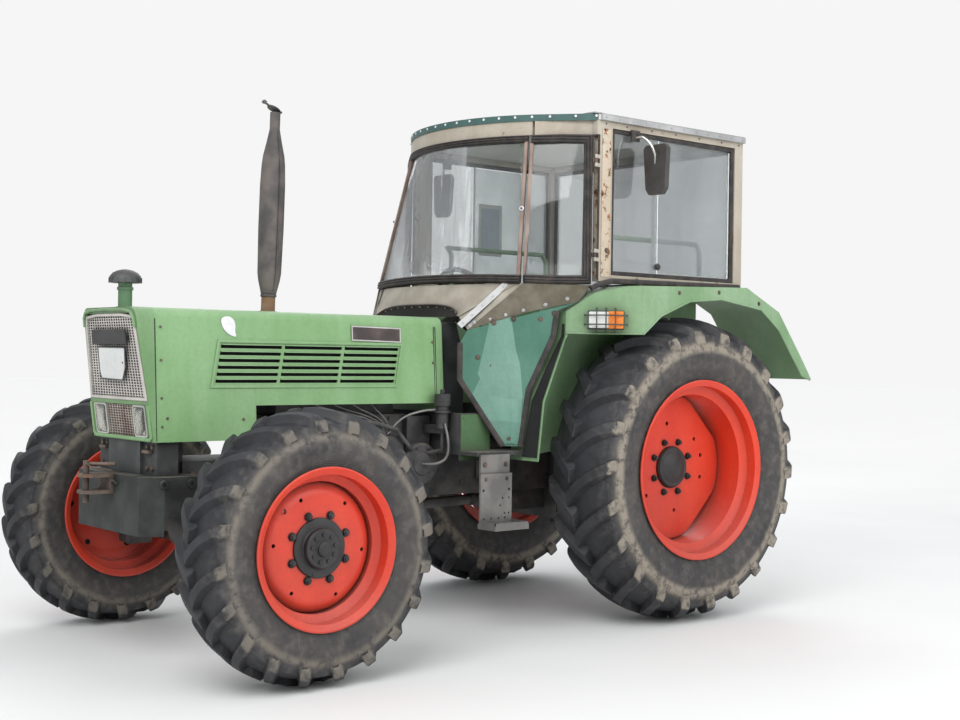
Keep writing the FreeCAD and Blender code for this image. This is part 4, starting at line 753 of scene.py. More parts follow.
# Bonnet and cowl: folded steel sheet in faded green with pressed vents in both sides, held by
# screws along the nose seam; a blank badge and a worn patch above the vents
bonnet_green = painted("bonnet_green", (0.165, 0.325, 0.125), (0.235, 0.400, 0.195), rust=0.10, dust=0.30,
                       rough=0.40)
dress("bonnet cowl", bonnet_green, 0.0025)
BONNET_LOW, BONNET_TOP, BONNET_HALF = 0.955, 1.523, 0.300
SIDE_SLOPE = (0.262 - BONNET_HALF) / (BONNET_TOP - BONNET_LOW)
SIDE_OUT, BADGE_OUT = (1, 0, 0.06), (1, 0, 0.067)
VENT_LOW, VENT_TOP, VENT_FRONT, VENT_BACK, VENT_LEAN, VENT_RIM = 1.188, 1.385, -2.454, -1.467, 0.040, 0.016


def bonnet_side(y, z, out=0.0):
    return Vector((BONNET_HALF + SIDE_SLOPE * (z - BONNET_LOW) + out, y, z))


def bonnet_run(line, out=0.0):
    return [bonnet_side(y, z, out) for y, z in line]


def vent_spot(y, z, out=0.0):
    """A place on the vents' field, which leans back as it rises."""
    return bonnet_side(y + VENT_LEAN * (z - VENT_LOW) / (VENT_TOP - VENT_LOW), z, out)


vents = Form()
edge = [vent_spot(VENT_FRONT, VENT_LOW), vent_spot(VENT_BACK, VENT_LOW), vent_spot(VENT_BACK, VENT_TOP),
        vent_spot(VENT_FRONT, VENT_TOP)]
ridge = [(-0.007, -0.001), (-0.006, 0.0035), (0.0, 0.0045), (0.006, 0.0035), (0.007, -0.001)]
vents.sweep(edge, ridge, BADGE_OUT, loop=True)
row = (VENT_TOP - VENT_LOW - VENT_RIM) / 6
column = (VENT_BACK - VENT_FRONT - VENT_RIM) / 3
for i in range(6):
    z = VENT_LOW + VENT_RIM + i * row
    for j in range(3):
        y0 = VENT_FRONT + VENT_RIM + j * column
        y1 = y0 + column - VENT_RIM
        lip = [[vent_spot(y, z + row * 0.52, -0.001), vent_spot(y, z + row * 0.62, 0.001),
                vent_spot(y, z + row * 0.54, 0.0055), vent_spot(y, z + row * 0.47, 0.0070),
                vent_spot(y, z + row * 0.47, 0.0055), vent_spot(y, z + row * 0.51, 0.0025)]
               for y in (y0 + 0.002, y1 - 0.002)]
        vents.loft(lip)
vents.mirrored()
piece("vent_edges", vents, bonnet_green, smooth=50)

# a near-black plate behind the vents: painted shade inside the bonnet
shade = Form()
shade.loft([[vent_spot(y, VENT_LOW, -0.030), vent_spot(y, VENT_TOP, -0.030), vent_spot(y, VENT_TOP, -0.034),
             vent_spot(y, VENT_LOW, -0.034)] for y in (VENT_FRONT, VENT_BACK)])
shade.mirrored()
piece("vent_shade", shade, shade_and_seam_black)

screws = Form()
for z in (1.02, 1.14, 1.30, 1.44):
    screws.rivet(bonnet_side(-2.690, z), SIDE_OUT, 0.0055)
for y, z in ((-2.665, 1.055), (-2.30, 1.045), (-1.24, 1.30), (-1.24, 1.40)):
    screws.rivet(bonnet_side(y, z), SIDE_OUT, 0.006)
screws.mirrored()
screw_iron = iron("screw_iron", (0.05, 0.035, 0.028), (0.16, 0.11, 0.08), rust=0.7, dust=0.2, rough=0.5)
piece("bonnet_screws", screws, screw_iron)

seam = Form()
seam.sweep([bonnet_side(-2.7155, z, 0.0) for z in (0.960, 1.10, 1.25, 1.40, 1.475)],
           flat_section(0.0012, -0.002, 0.0006), SIDE_OUT)
for y in (-1.232, -1.222):
    seam.sweep([bonnet_side(y, z, 0.0) for z in (1.115, 1.25, 1.40, 1.475)],
               flat_section(0.001, -0.002, 0.0006), SIDE_OUT)
seam.mirrored()
piece("bonnet_seams", seam, shade_and_seam_black)

badge = Form()
badge_line = ((-1.715, 1.402), (-1.437, 1.397), (-1.437, 1.461), (-1.715, 1.466))
badge.loft([bonnet_run(badge_line, out) for out in (0.0, 0.003)])
badge_rim = Form().sweep(bonnet_run(badge_line, 0.003), flat_section(0.003, -0.001, 0.001), BADGE_OUT,
                         loop=True)
badge.mirrored()
badge_rim.mirrored()
badge_brown = iron("badge_brown", (0.040, 0.028, 0.026), (0.10, 0.075, 0.070), rough=0.45, rust=0.1,
                   dust=0.2)
alloy = iron("worn_alloy", (0.42, 0.41, 0.40), (0.55, 0.54, 0.52), rough=0.38, rust=0.05, dust=0.15,
             metallic=0.35)
piece("bonnet_badges", badge, badge_brown, bevel=0.0006)
piece("bonnet_badge_rims", badge_rim, alloy)

patch = Form()
curve = [(-2.402, 1.482), (-2.385, 1.492), (-2.365, 1.494), (-2.348, 1.488), (-2.335, 1.474),
         (-2.330, 1.452), (-2.334, 1.428), (-2.325, 1.404), (-2.345, 1.407), (-2.368, 1.417),
         (-2.388, 1.434), (-2.400, 1.458)]
outline = [(p.y, p.z) for p in smoothed([(0, y, z) for y, z in curve], loop=True)]
patch.loft([bonnet_run(outline, out) for out in (-0.0002, 0.0006)])
patch_white = painted("bare_primer", (0.66, 0.66, 0.68), (0.78, 0.78, 0.79), rust=0.02, dust=0.1, rough=0.6,
                      streak=0.2)
piece("primer_patch", patch, patch_white)


# Nose: the darker green hood end with a pale pressed grille, two rectangular lamps and a rusty
# chin mesh between them; the badge and the number plate are blank
nose_green = painted("nose_green", (0.125, 0.245, 0.095), (0.205, 0.345, 0.172), rust=0.28, dust=0.40,
                     rough=0.42)
dress("nose", nose_green, 0.0035, 3)
GRILLE_LOW, GRILLE_TOP, GRILLE_LOW_HALF, GRILLE_TOP_HALF = 1.129, 1.496, 0.267, 0.231
MESH_BAR = 0.34
NOSE_SLANT = 0.137
NOSE_OUT = (0, -1, -NOSE_SLANT)


def nose_spot(x, z, out=0.0):
    """A place on the nose's leaning face, out to the front."""
    lean = (2.800 - 2.722) / (BONNET_TOP - BONNET_LOW)
    return Vector((x, -2.722 - lean * (z - BONNET_LOW) - out, z))


def nose_run(line, out=0.0):
    return [nose_spot(x, z, out) for x, z in line]


def lattice(low, top, half_low, half_top, columns, rows):
    """A sheet of square holes from low up to top, with a half width at each."""
    form = Form()
    spots = {}

    def spot(u, v):
        key = (round(u, 4), round(v, 4))
        if key not in spots:
            half = half_low + (half_top - half_low) * v
            spots[key] = len(form.points)
            form.points.append(low + Vector((1, 0, 0)) * half * (2 * u - 1) + (top - low) * v)
        return spots[key]

    def lines(count):
        marks = [0.0]
        for i in range(count):
            marks += [(i + MESH_BAR / 2) / count, (i + 1 - MESH_BAR / 2) / count]
        return marks + [1.0]
    us, vs = lines(columns), lines(rows)
    for i in range(len(us) - 1):
        for j in range(len(vs) - 1):
            if i % 2 == 0 or j % 2 == 0:
                form.faces.append((spot(us[i], vs[j]), spot(us[i + 1], vs[j]), spot(us[i + 1], vs[j + 1]),
                                   spot(us[i], vs[j + 1])))
    return form


pale_mesh = iron("grille_alloy", (0.50, 0.47, 0.44), (0.66, 0.62, 0.58), rough=0.45, rust=0.16, dust=0.25,
                 metallic=0.2)
low, top = nose_spot(0, GRILLE_LOW + 0.008, -0.004), nose_spot(0, GRILLE_TOP - 0.010, -0.004)
mesh = lattice(low, top, GRILLE_LOW_HALF - 0.008, GRILLE_TOP_HALF - 0.006, 20, 30)
piece("grille_mesh", mesh, pale_mesh, replaced=("grille",), solid=0.002, smooth=20)
rim_line = [(-GRILLE_LOW_HALF + 0.005, GRILLE_LOW + 0.005), (GRILLE_LOW_HALF - 0.005, GRILLE_LOW + 0.005),
            (GRILLE_TOP_HALF - 0.002, GRILLE_TOP - 0.034), (GRILLE_TOP_HALF - 0.014, GRILLE_TOP - 0.015),
            (0.120, GRILLE_TOP - 0.006), (-0.120, GRILLE_TOP - 0.006),
            (-GRILLE_TOP_HALF + 0.014, GRILLE_TOP - 0.015), (-GRILLE_TOP_HALF + 0.002, GRILLE_TOP - 0.034)]
rim = Form().sweep(nose_run(rim_line, -0.001), bead_section(0.007, 0.004, -0.008, 0.003, 0.006), NOSE_OUT,
                   loop=True)
piece("grille_rim", rim, pale_mesh, smooth=50)
lip_line = ((-0.238, 1.440), (-0.234, 1.480), (-0.215, 1.502), (-0.16, 1.511), (0.0, 1.514), (0.16, 1.511),
            (0.215, 1.502), (0.234, 1.480), (0.238, 1.440))
lip = Form().sweep(nose_run(lip_line),
                   [(-0.006, -0.004), (-0.007, 0.010), (-0.003, 0.014), (0.004, 0.012), (0.006, -0.004)],
                   NOSE_OUT)
piece("hood_lip", lip, nose_green, smooth=60)
# near-black plates behind the grille and the chin mesh: painted shade inside the nose
grille_shade_back = Form().slab(nose_run(((-0.262, 1.13), (0.262, 1.13), (0.226, 1.49), (-0.226, 1.49)), -0.045),
                        (0, 0.004, 0))
grille_shade_back.slab(nose_run(((-0.121, 0.972), (0.121, 0.972), (0.121, 1.106), (-0.121, 1.106)), -0.030),
               (0, 0.004, 0))
piece("grille_shade_plates", grille_shade_back, shade_and_seam_black)

low, top = nose_spot(0, 0.972, -0.002), nose_spot(0, 1.106, -0.002)
chin = lattice(low, top, 0.1215, 0.1215, 10, 12)
chin_rust = iron("chin_rust", (0.20, 0.15, 0.12), (0.38, 0.33, 0.29), rough=0.6, rust=0.75, dust=0.3)
piece("chin_mesh", chin, chin_rust, solid=0.004, smooth=20)
chin_edge = Form().sweep(nose_run(((-0.270, 1.110), (-0.272, 0.975), (-0.255, 0.963), (0.255, 0.963),
                                   (0.272, 0.975), (0.270, 1.110)), 0.002),
                         bead_section(0.008, 0.004, -0.004, 0.003, 0.006), NOSE_OUT)
piece("chin_edge", chin_edge, bonnet_green, smooth=50)

badge = Form()
badge.slab(nose_run(((-0.165, 1.365), (0.165, 1.365), (0.160, 1.428), (-0.160, 1.428)), 0.008),
           (0, -0.008, -0.001))
for x in (-0.13, 0.13):
    badge.slab([nose_spot(x + dx, z, -0.002)
                for dx, z in ((-0.01, 1.38), (0.01, 1.38), (0.01, 1.41), (-0.01, 1.41))], (0, -0.012, 0))
badge_black = plastic("badge_black", (0.018, 0.017, 0.018), rough=0.4)
piece("nose_badge", badge, badge_black, bevel=0.002)
plate_line = [(-0.128, 1.250), (-0.105, 1.216), (0.095, 1.212), (0.118, 1.262), (0.134, 1.350),
              (-0.122, 1.352)]
number_plate = Form()
number_plate.loft([[nose_spot(x, z, out + (0.006 if z < 1.24 else 0.0)) for x, z in plate_line]
                   for out in (0.008, 0.0105)])
plate_white = painted("plate_white", (0.60, 0.61, 0.60), (0.72, 0.73, 0.72), rust=0.05, dust=0.25,
                      rough=0.35, streak=0.3)
piece("number_plate", number_plate, plate_white, bevel=0.001)
plate_edge = Form().sweep([nose_spot(x, z, 0.0115 + (0.006 if z < 1.24 else 0.0)) for x, z in plate_line],
                          flat_section(0.002, -0.001, 0.0008), NOSE_OUT, loop=True)
for x, z in ((-0.09, 1.285), (0.10, 1.287)):
    plate_edge.rivet(nose_spot(x, z, 0.0105), NOSE_OUT, 0.004)
piece("plate_edge", plate_edge, badge_black)


# Headlamps: rectangular units with a worn alloy bezel, a bright pressed reflector with its bulb,
# and a fluted lens
LAMP_X, LAMP_Z = 0.184, 1.039
bezel, reflector, lens, bulb = Form(), Form(), Form(), Form()


def lamp_ring(half_wide, half_high, corner, y):
    """A rounded rectangle about the lamp's middle, on a plane leaning as the nose does."""
    ring = []
    for k, (sx, sz) in enumerate(((1, 1), (-1, 1), (-1, -1), (1, -1))):
        for step in range(5):
            a = math.radians(90 * k + 22.5 * step)
            x = sx * (half_wide - corner) + corner * math.cos(a)
            z = sz * (half_high - corner) + corner * math.sin(a)
            ring.append((LAMP_X + x, y - NOSE_SLANT * z, LAMP_Z + z))
    return ring


face = nose_spot(0, LAMP_Z).y
bezel.loft([lamp_ring(*size) for size in (
    (0.0585, 0.069, 0.014, face + 0.040), (0.0585, 0.069, 0.014, face - 0.003),
    (0.0560, 0.0665, 0.013, face - 0.006), (0.0500, 0.0605, 0.010, face - 0.005),
    (0.0485, 0.0590, 0.009, face + 0.002))], ends=False)
reflector.loft([lamp_ring(*size)
                for size in ((0.0490, 0.0595, 0.009, face + 0.001), (0.044, 0.054, 0.012, face + 0.014),
                             (0.034, 0.042, 0.018, face + 0.026), (0.018, 0.022, 0.014, face + 0.034),
                             (0.006, 0.006, 0.005, face + 0.037))])
lens.loft([lamp_ring(*size) for size in (
    (0.0490, 0.0595, 0.009, face + 0.001), (0.0486, 0.0591, 0.009, face - 0.003),
    (0.046, 0.0565, 0.010, face - 0.006), (0.030, 0.038, 0.012, face - 0.0085),
    (0.008, 0.010, 0.007, face - 0.0095))])
bulb.turned([(0.034, 0.0), (0.034, 0.008), (0.016, 0.007), (0.010, 0.004), (0.009, 0.0)],
            (LAMP_X, face, LAMP_Z), "Y", 16, loop=False)
for form in (bezel, reflector, lens, bulb):
    form.mirrored()
chrome = Surface("lamp_reflector")
chrome.finish(chrome.mix(chrome.band(chrome.noise(14.0, 4.0), 0.35, 0.7), (0.80, 0.80, 0.78),
                         (0.62, 0.60, 0.55)), 0.16, 1.0)
clear = Surface("lamp_lens")
flutes = clear.node("Math", {"operation": "SINE"})
feed(clear.tree, flutes.socket.node.inputs[0], clear.x * 900.0)
clear.finish(clear.mix(clear.band(clear.noise(9.0, 4.0), 0.4, 0.7), (0.93, 0.94, 0.93), (0.80, 0.79, 0.72)),
             0.06 + clear.noise(40.0, 3.0) * 0.12, height=flutes * 0.6 + clear.noise(20.0, 2.0),
             relief=0.00012, Transmission_Weight=1.0, IOR=1.35)
bezel_alloy = iron("bezel_alloy", (0.36, 0.37, 0.33), (0.50, 0.51, 0.46), rough=0.42, rust=0.12, dust=0.2)
piece("lamp_bezels", bezel, bezel_alloy, replaced=("headlamps",), smooth=40)
piece("lamp_reflectors", reflector, chrome, smooth=60)
piece("lamp_lenses", lens, clear, smooth=60)
piece("lamp_bulbs", bulb, clear, smooth=60)


# Exhaust: a silencer of two pressed halves with seam flanges, a rusty stub below it and a rain
# flap; the air cleaner's moulded cap stands on a short tube at the nose
soot = iron("silencer_black", (0.060, 0.055, 0.056), (0.135, 0.115, 0.105), rough=0.62, rust=0.45, dust=0.25)
rusty_stub = iron("rusty_stub", (0.20, 0.115, 0.065), (0.30, 0.20, 0.13), rough=0.75, rust=0.8, dust=0.2)
EXHAUST_Y = -2.005
FIN_HALF = 0.0016
LEAN = (Matrix.Translation((0, EXHAUST_Y, BONNET_TOP)) @ Matrix.Rotation(math.radians(-1.6), 4, "X")
        @ Matrix.Translation((0, -EXHAUST_Y, 0)))
# columns: height over the bonnet, radius
SILENCER = [(0.078, 0.033), (0.108, 0.040), (0.150, 0.050), (0.183, 0.055), (0.389, 0.059), (0.594, 0.0585),
            (0.690, 0.0545), (0.731, 0.050), (0.790, 0.037), (0.833, 0.0285), (0.857, 0.024), (0.936, 0.024),
            (0.936, 0.020), (0.870, 0.020)]
body = Form().turned([(0.078, 0.0)] + SILENCER + [(0.870, 0.0)], (0, EXHAUST_Y, 0), "Z", 40, loop=False)
for side in (1, -1):
    fin = [(0.090, 0.036), (0.150, 0.055), (0.183, 0.061), (0.389, 0.065), (0.594, 0.0645), (0.690, 0.060),
           (0.790, 0.042), (0.850, 0.027)]
    body.loft([[(side * (r - 0.012), EXHAUST_Y - FIN_HALF, z), (side * r, EXHAUST_Y - FIN_HALF * 0.6, z),
                (side * r, EXHAUST_Y + FIN_HALF * 0.6, z), (side * (r - 0.012), EXHAUST_Y + FIN_HALF, z)]
               for z, r in fin])
for z in (0.075, 0.092):
    body.collar(z, z + 0.010, 0.030, 0.0375, (0, EXHAUST_Y, 0), "Z", 32)
flap = Form()
flap.turned([(-0.0015, 0.0), (-0.0015, 0.033), (0.0015, 0.034), (0.0035, 0.032), (0.0045, 0.0)], (0, 0, 0),
            "Z", 28, loop=False)
flap.box(-0.008, 0.008, -0.056, -0.026, -0.001, 0.003)
flap.box(-0.011, 0.011, -0.066, -0.052, -0.004, 0.008)
flap.box(-0.006, 0.006, 0.022, 0.036, -0.001, 0.003)
FLAP_HINGE = (0, -1.985, 0.937)
tilt = (Matrix.Translation(FLAP_HINGE) @ Matrix.Rotation(math.radians(-25), 4, "X")
        @ Matrix.Translation((0, -0.032, 0.0)))
body.add(flap, tilt)
body.collar(-0.020, 0.020, 0.0, 0.0055, FLAP_HINGE, "X", 12)
stub = Form().collar(-0.14, 0.080, 0.0, 0.0325, (0, EXHAUST_Y, 0), "Z", 32)
stub.turned([(0.0, 0.034), (0.0, 0.046), (0.006, 0.046), (0.010, 0.035)], (0, EXHAUST_Y, 0), "Z", 32)
piece("silencer", Form().add(body, LEAN), soot, replaced=("exhaust",), smooth=42)
piece("silencer_stub", Form().add(stub, LEAN), rusty_stub, smooth=42)

CLEANER = (0, -2.722, 0)
cleaner = Form()
cleaner.turned([(1.522, 0.0), (1.522, 0.040), (1.527, 0.040), (1.529, 0.030), (1.634, 0.030), (1.634, 0.0)],
               CLEANER, "Z", 32, loop=False)
cleaner.collar(1.600, 1.612, 0.031, 0.035, CLEANER, "Z", 32)
cap = Form().turned([(1.630, 0.0), (1.630, 0.060), (1.632, 0.071), (1.645, 0.0708), (1.660, 0.066),
                     (1.674, 0.054), (1.684, 0.034), (1.689, 0.012), (1.690, 0.0)], CLEANER, "Z", 40,
                    loop=False)
for i in range(14):
    a = math.tau * i / 14
    fin = Form().box(0.052, 0.0722, -0.0022, 0.0022, 1.631, 1.652)
    cap.add(fin, Matrix.Translation(CLEANER) @ Matrix.Rotation(a, 4, "Z"))
stack_green = plastic("cleaner_green", (0.085, 0.180, 0.085), rough=0.5, worn=0.4)
cap_black = plastic("cleaner_black", (0.030, 0.034, 0.032), rough=0.45, worn=0.5)
piece("cleaner_tube", cleaner, stack_green, replaced=("air_precleaner",), smooth=42)
piece("cleaner_cap", cap, cap_black, smooth=42)


# Cab frame: folded steel posts, rails and a bowed header in cream paint, rusting through in
# patches; screws along the gutter and a rubber seal in the door gap
cab_cream = painted("cab_cream", (0.38, 0.325, 0.255), (0.48, 0.44, 0.37), rust=0.42, dust=0.45, rough=0.5,
                    streak=0.4)
dress("cab_frame rear_panel", cab_cream, 0.003)
post_rust = painted("post_rust", (0.50, 0.40, 0.29), (0.58, 0.50, 0.40), rust=0.86, dust=0.3, rough=0.6)
posts = Form()
posts.box(0.7455, 0.7475, -0.572, -0.512, 1.735, 2.462)
posts.box(0.706, 0.739, -0.5885, -0.5855, 1.735, 2.425)
for z in (1.80, 2.10, 2.40):
    posts.bolt((0.7475, -0.562, z), (1, 0, 0), 0.006, 0.004)
posts.mirrored()
piece("post_faces", posts, post_rust, bevel=0.0008)
trim = Form()
for y in (-0.545, -0.40, -0.22, -0.04, 0.14, 0.32, 0.46):
    trim.rivet((0.7452, y, 2.488), (1, 0, 0), 0.0045)
trim.bolt((0.7475, -0.535, 1.865), (1, 0, 0), 0.010, 0.006)
trim.mirrored()
piece("cab_screws", trim, screw_iron)
rubber = Surface("window_rubber")
old = rubber.noise(18.0, 5.0, rough=0.65)
worn = rubber.mix(rubber.band(old, 0.35, 0.72), (0.016, 0.014, 0.014), (0.060, 0.048, 0.042))
worn = rubber.mix(rubber.band(rubber.up, 0.3, 0.95) * 0.35, worn, (0.12, 0.11, 0.10))
rubber.finish(worn, 0.52 + old * 0.25, height=rubber.noise(90.0, 3.0) + old, relief=0.0006)
gap = Form()
gap.box(0.742, 0.7455, -0.598, -0.5870, 1.72, 2.43)
gaiter = Form()
gaiter.sweep([(0.748, -0.640, 1.672), (0.750, -0.600, 1.692), (0.752, -0.500, 1.716), (0.752, 0.470, 1.726)],
             bead_section(0.013, 0.007, -0.006, 0.004, 0.009), [(1, 0, 0.4)] * 4)
gap.add(gaiter)
gap.mirrored()
piece("post_rubbers", gap, rubber, smooth=50)


# Roof: a crowned sheet with a dark teal front strip on white rivets and an alloy strip along
# each side
def bowed(share, half, y, bow, out=0.0):
    """A place on an arc that bows forward between its ends at (half, y), and its outward normal."""
    radius = (half * half + bow * bow) / (2.0 * bow)
    turn = math.asin(min(half / radius, 1.0)) * share
    return (radius + out) * math.sin(turn), y - bow + radius - (radius + out) * math.cos(turn), turn


def roof_plan(shrink):
    ring = [(0.760, 0.500), (0.760, 0.25), (0.760, 0.0), (0.760, -0.30), (0.760, -0.585)]
    for i in range(17):
        ring.append(bowed(1 - i / 8, 0.490, -0.807, 0.152)[:2])
    ring += [(-0.760, -0.585), (-0.760, -0.30), (-0.760, 0.0), (-0.760, 0.25), (-0.760, 0.500)]
    scale = 1 - shrink / 0.760
    return [(x * scale, (y + 0.19) * scale - 0.19) for x, y in ring]


roof = Form()
rings = [(0.004, 2.5005), (0.0, 2.5035), (0.0, 2.528), (0.006, 2.5335), (0.05, 2.5385), (0.14, 2.5445),
         (0.28, 2.5500), (0.45, 2.5512), (0.62, 2.5519), (0.72, 2.5521)]
roof.loft([[(x, y, z) for x, y in roof_plan(shrink)] for shrink, z in rings])
roof_cream = painted("roof_cream", (0.55, 0.53, 0.49), (0.68, 0.66, 0.62), rust=0.10, dust=0.5, rough=0.5,
                     streak=0.2)
piece("roof_shell", roof, roof_cream, replaced=("roof",), smooth=45)
teal_strip = Form()
places = [bowed(1 - i / 12, 0.4905, -0.8075, 0.1525, 0.001) for i in range(25)]
line = [(0.745, -0.6015, 2.516), (0.62, -0.7025, 2.516)] + [(x, y, 2.516) for x, y, _ in places]
line += [(-0.62, -0.7025, 2.516), (-0.745, -0.6015, 2.516)]
normals = [(0.63, -0.78, 0)] * 2 + [
    (math.sin(t), -math.cos(t), 0) for _, _, t in places] + [(-0.63, -0.78, 0)] * 2
teal_strip.sweep(line, flat_section(0.016, -0.002, 0.0015), normals)
teal = painted("teal_strip", (0.030, 0.085, 0.078), (0.060, 0.130, 0.120), rust=0.12, dust=0.2, rough=0.45)
piece("roof_front_strip", teal_strip, teal, smooth=50)
rivets = Form()
for i in range(13):
    x, y, t = bowed(1 - i / 6, 0.4905, -0.8075, 0.1525, 0.0025)
    rivets.rivet((x, y, 2.520), (math.sin(t), -math.cos(t), 0), 0.0062)
for x in (0.56, 0.66, 0.74):
    y = -0.807 + (x - 0.49) * 0.795
    for side in (1, -1):
        rivets.rivet((side * (x + 0.002), y - 0.003, 2.520), (side * 0.63, -0.78, 0), 0.0062)
alloy_bright = iron("roof_alloy", (0.36, 0.36, 0.36), (0.47, 0.47, 0.47), rough=0.35, rust=0.02, dust=0.25,
                    metallic=0.4)
strips = Form()
strips.loft([[(0.757, y, 2.5005), (0.7625, y, 2.502), (0.7625, y, 2.528), (0.757, y, 2.535),
              (0.735, y, 2.538), (0.735, y, 2.530)] for y in (-0.590, 0.497)])
for i in range(12):
    strips.rivet((0.7625, -0.56 + i * 0.094, 2.515), (1, 0, 0), 0.0040)
strips.mirrored()
for x in (0.700, -0.700):
    strips.box(x - 0.045, x + 0.045, -0.626, -0.560, 2.533, 2.539)
piece("roof_rivets", rivets, patch_white)
piece("roof_side_strips", strips, alloy_bright, bevel=0.0008)


# Windscreen: curved glass in thick ribbed rubber, with a thin brown bar at each side where the
# doors' panes begin; the cab's other panes share its glass
SCREEN_LOW, SCREEN_TOP = 1.690, 2.425


def screen(share, z, out=0.0):
    """A place on the curved screen and its outward direction."""
    up = (z - SCREEN_LOW) / (SCREEN_TOP - SCREEN_LOW)
    x, y, turn = bowed(share, 0.575 - 0.107 * up, -0.950 + 0.138 * up, 0.125 + 0.015 * up, out)
    return Vector((x, y, z)), Vector((math.sin(turn), -math.cos(turn), 0.17))


RIBS = [(-0.021, -0.016), (-0.021, 0.006), (-0.017, 0.014), (-0.012, 0.016), (-0.008, 0.011),
        (-0.006, 0.011), (-0.003, 0.016), (0.003, 0.016), (0.006, 0.011), (0.008, 0.011), (0.012, 0.016),
        (0.017, 0.013), (0.021, 0.004), (0.021, -0.016)]
surround = Form()
for z in (1.711, 2.413):
    path, normals = [], []
    for i in range(33):
        share = 1 - i / 16
        arch = 0.026 * (1 - share * share) if z < 2 else 0.0
        spot, out = screen(share, z + arch * 0.4)
        path.append(spot)
        normals.append(out)
    surround.sweep(path, RIBS if z < 2 else [(u * 0.85, v) for u, v in RIBS], normals)
piece("screen_rubber", surround, rubber, replaced=("windscreen_frame",), smooth=50)
bars = Form()
for side in (1, -1):
    path = [screen(side * 0.985, z, 0.002)[0] for z in (1.725, 1.95, 2.20, 2.40)]
    normals = [screen(side * 0.985, z)[1] for z in (1.725, 1.95, 2.20, 2.40)]
    bars.sweep(path, bead_section(0.0095, 0.006, -0.010, 0.004, 0.007), normals)
bar_brown = iron("bar_brown", (0.20, 0.13, 0.105), (0.32, 0.24, 0.20), rough=0.5, rust=0.35, dust=0.2)
piece("screen_bars", bars, bar_brown)
washers = Form()
for side in (1, -1):
    spot, out = screen(side * 0.985, 2.06, 0.009)
    washers.bolt(spot, out, 0.012, 0.004, 20, 0)
piece("screen_washers", washers, patch_white)
studs_small = Form()
for side in (1, -1):
    spot, out = screen(side * 0.985, 2.06, 0.013)
    studs_small.bolt(spot, out, 0.006, 0.006, 6, 0)
piece("screen_bolts", studs_small, screw_iron)

glass = Surface("window_glass")
clean = coloured(glass.tree, "BsdfTransparent", (0.975, 0.985, 0.985))
gloss = glass.tree.nodes.new("ShaderNodeBsdfGlossy")
gloss.inputs["Roughness"].default_value = 0.04
film = coloured(glass.tree, "BsdfDiffuse", (0.62, 0.64, 0.66))
shine = glass.node("Fresnel", IOR=1.5)
smear = glass.band(glass.noise(2.6, 5.0, (1.0, 1.0, 0.35)), 0.45, 0.75) * 0.06
smear = smear + glass.band(glass.noise(26.0, 6.0), 0.5, 0.8) * 0.03
shiny = blend(glass.tree, shine * 0.6, clean, gloss)
end_at(glass.tree, blend(glass.tree, smear + 0.008, shiny, film))
dress("windscreen_glass door_glass_left door_glass_right side_glass rear_glass", glass, 0.0)


# Skirt below the screen: dull galvanised sheet, with an arched rubber edging riveted over the
# bonnet's rear end and a filling piece at each side
zinc = iron("dull_zinc", (0.36, 0.32, 0.26), (0.48, 0.44, 0.37), rough=0.48, rust=0.12, dust=0.35,
            metallic=0.25)
dress("skirt", zinc, 0.001)


def skirt(share, up, out=0.0):
    """A place on the skirt, up from its lower edge, and its outward direction."""
    x, y, turn = bowed(share, 0.345 + 0.210 * up, -1.135 + 0.185 * up, 0.020 + 0.105 * up, out)
    return Vector((x, y, 1.530 + 0.1597 * up)), Vector((math.sin(turn), -math.cos(turn), -0.9))


edging, edge_rivets = Form(), Form()
path, normals = [], []
for i in range(25):
    share = 1 - i / 12
    arch = 0.30 * (1 - abs(share) ** 3.5) if abs(share) < 1 else 0
    spot, out = skirt(share * 0.93, 0.02 + arch, 0.004)
    path.append(spot)
    normals.append(out)
    if 2 < i < 22 and i % 2:
        edge_rivets.rivet(spot + out.normalized() * 0.004, out, 0.005)
edging.sweep(path, flat_section(0.014, -0.004, 0.003), normals)
# a near-black strip across the arch under the edging: painted shade in the opening
under = Form()
low_path = [skirt((1 - i / 12) * 0.95, 0.0, 0.004) for i in range(25)]
for (a, out), p in zip(low_path, path):
    under.points += [a + out * 0.001, p]
for i in range(24):
    under.faces.append((2 * i, 2 * i + 2, 2 * i + 3, 2 * i + 1))
fill = Form()
fill.slab([(0.340, -1.134, 1.527), (0.5545, -0.9500, 1.6895), (0.583, -0.9385, 1.6905),
           (0.399, -1.1255, 1.462)], (-0.0020, 0.0015, -0.0010))
piece("skirt_sides", fill.mirrored(), zinc)
piece("skirt_opening", under, shade_and_seam_black, solid=0.002)
piece("skirt_edging", edging, badge_brown, smooth=50)
piece("skirt_rivets", edge_rivets, alloy_bright)


# Doors: each a rubber-framed side pane, the slanted galvanised skirt under it and the creased
# teal-green lower panel, hung on two hinges on the cab's post
HINGE_X, HINGE_Y = 0.748, -0.615
HINGE = Vector((HINGE_X, HINGE_Y, 0.0))
ALONG = Vector((0.380 - HINGE_X, -1.165 - HINGE_Y, 0.0)).normalized()
DOOR_RUN = math.hypot(0.368, 0.550)
OUTWARD = Vector((-ALONG.y, ALONG.x, 0.0))
LOW_LINE = (Vector((0.587, -0.942, SCREEN_LOW)), Vector((0.740, -0.629, SCREEN_LOW)))
TOP_LINE = (Vector((0.480, -0.804, SCREEN_TOP)), Vector((0.736, -0.627, SCREEN_TOP)))


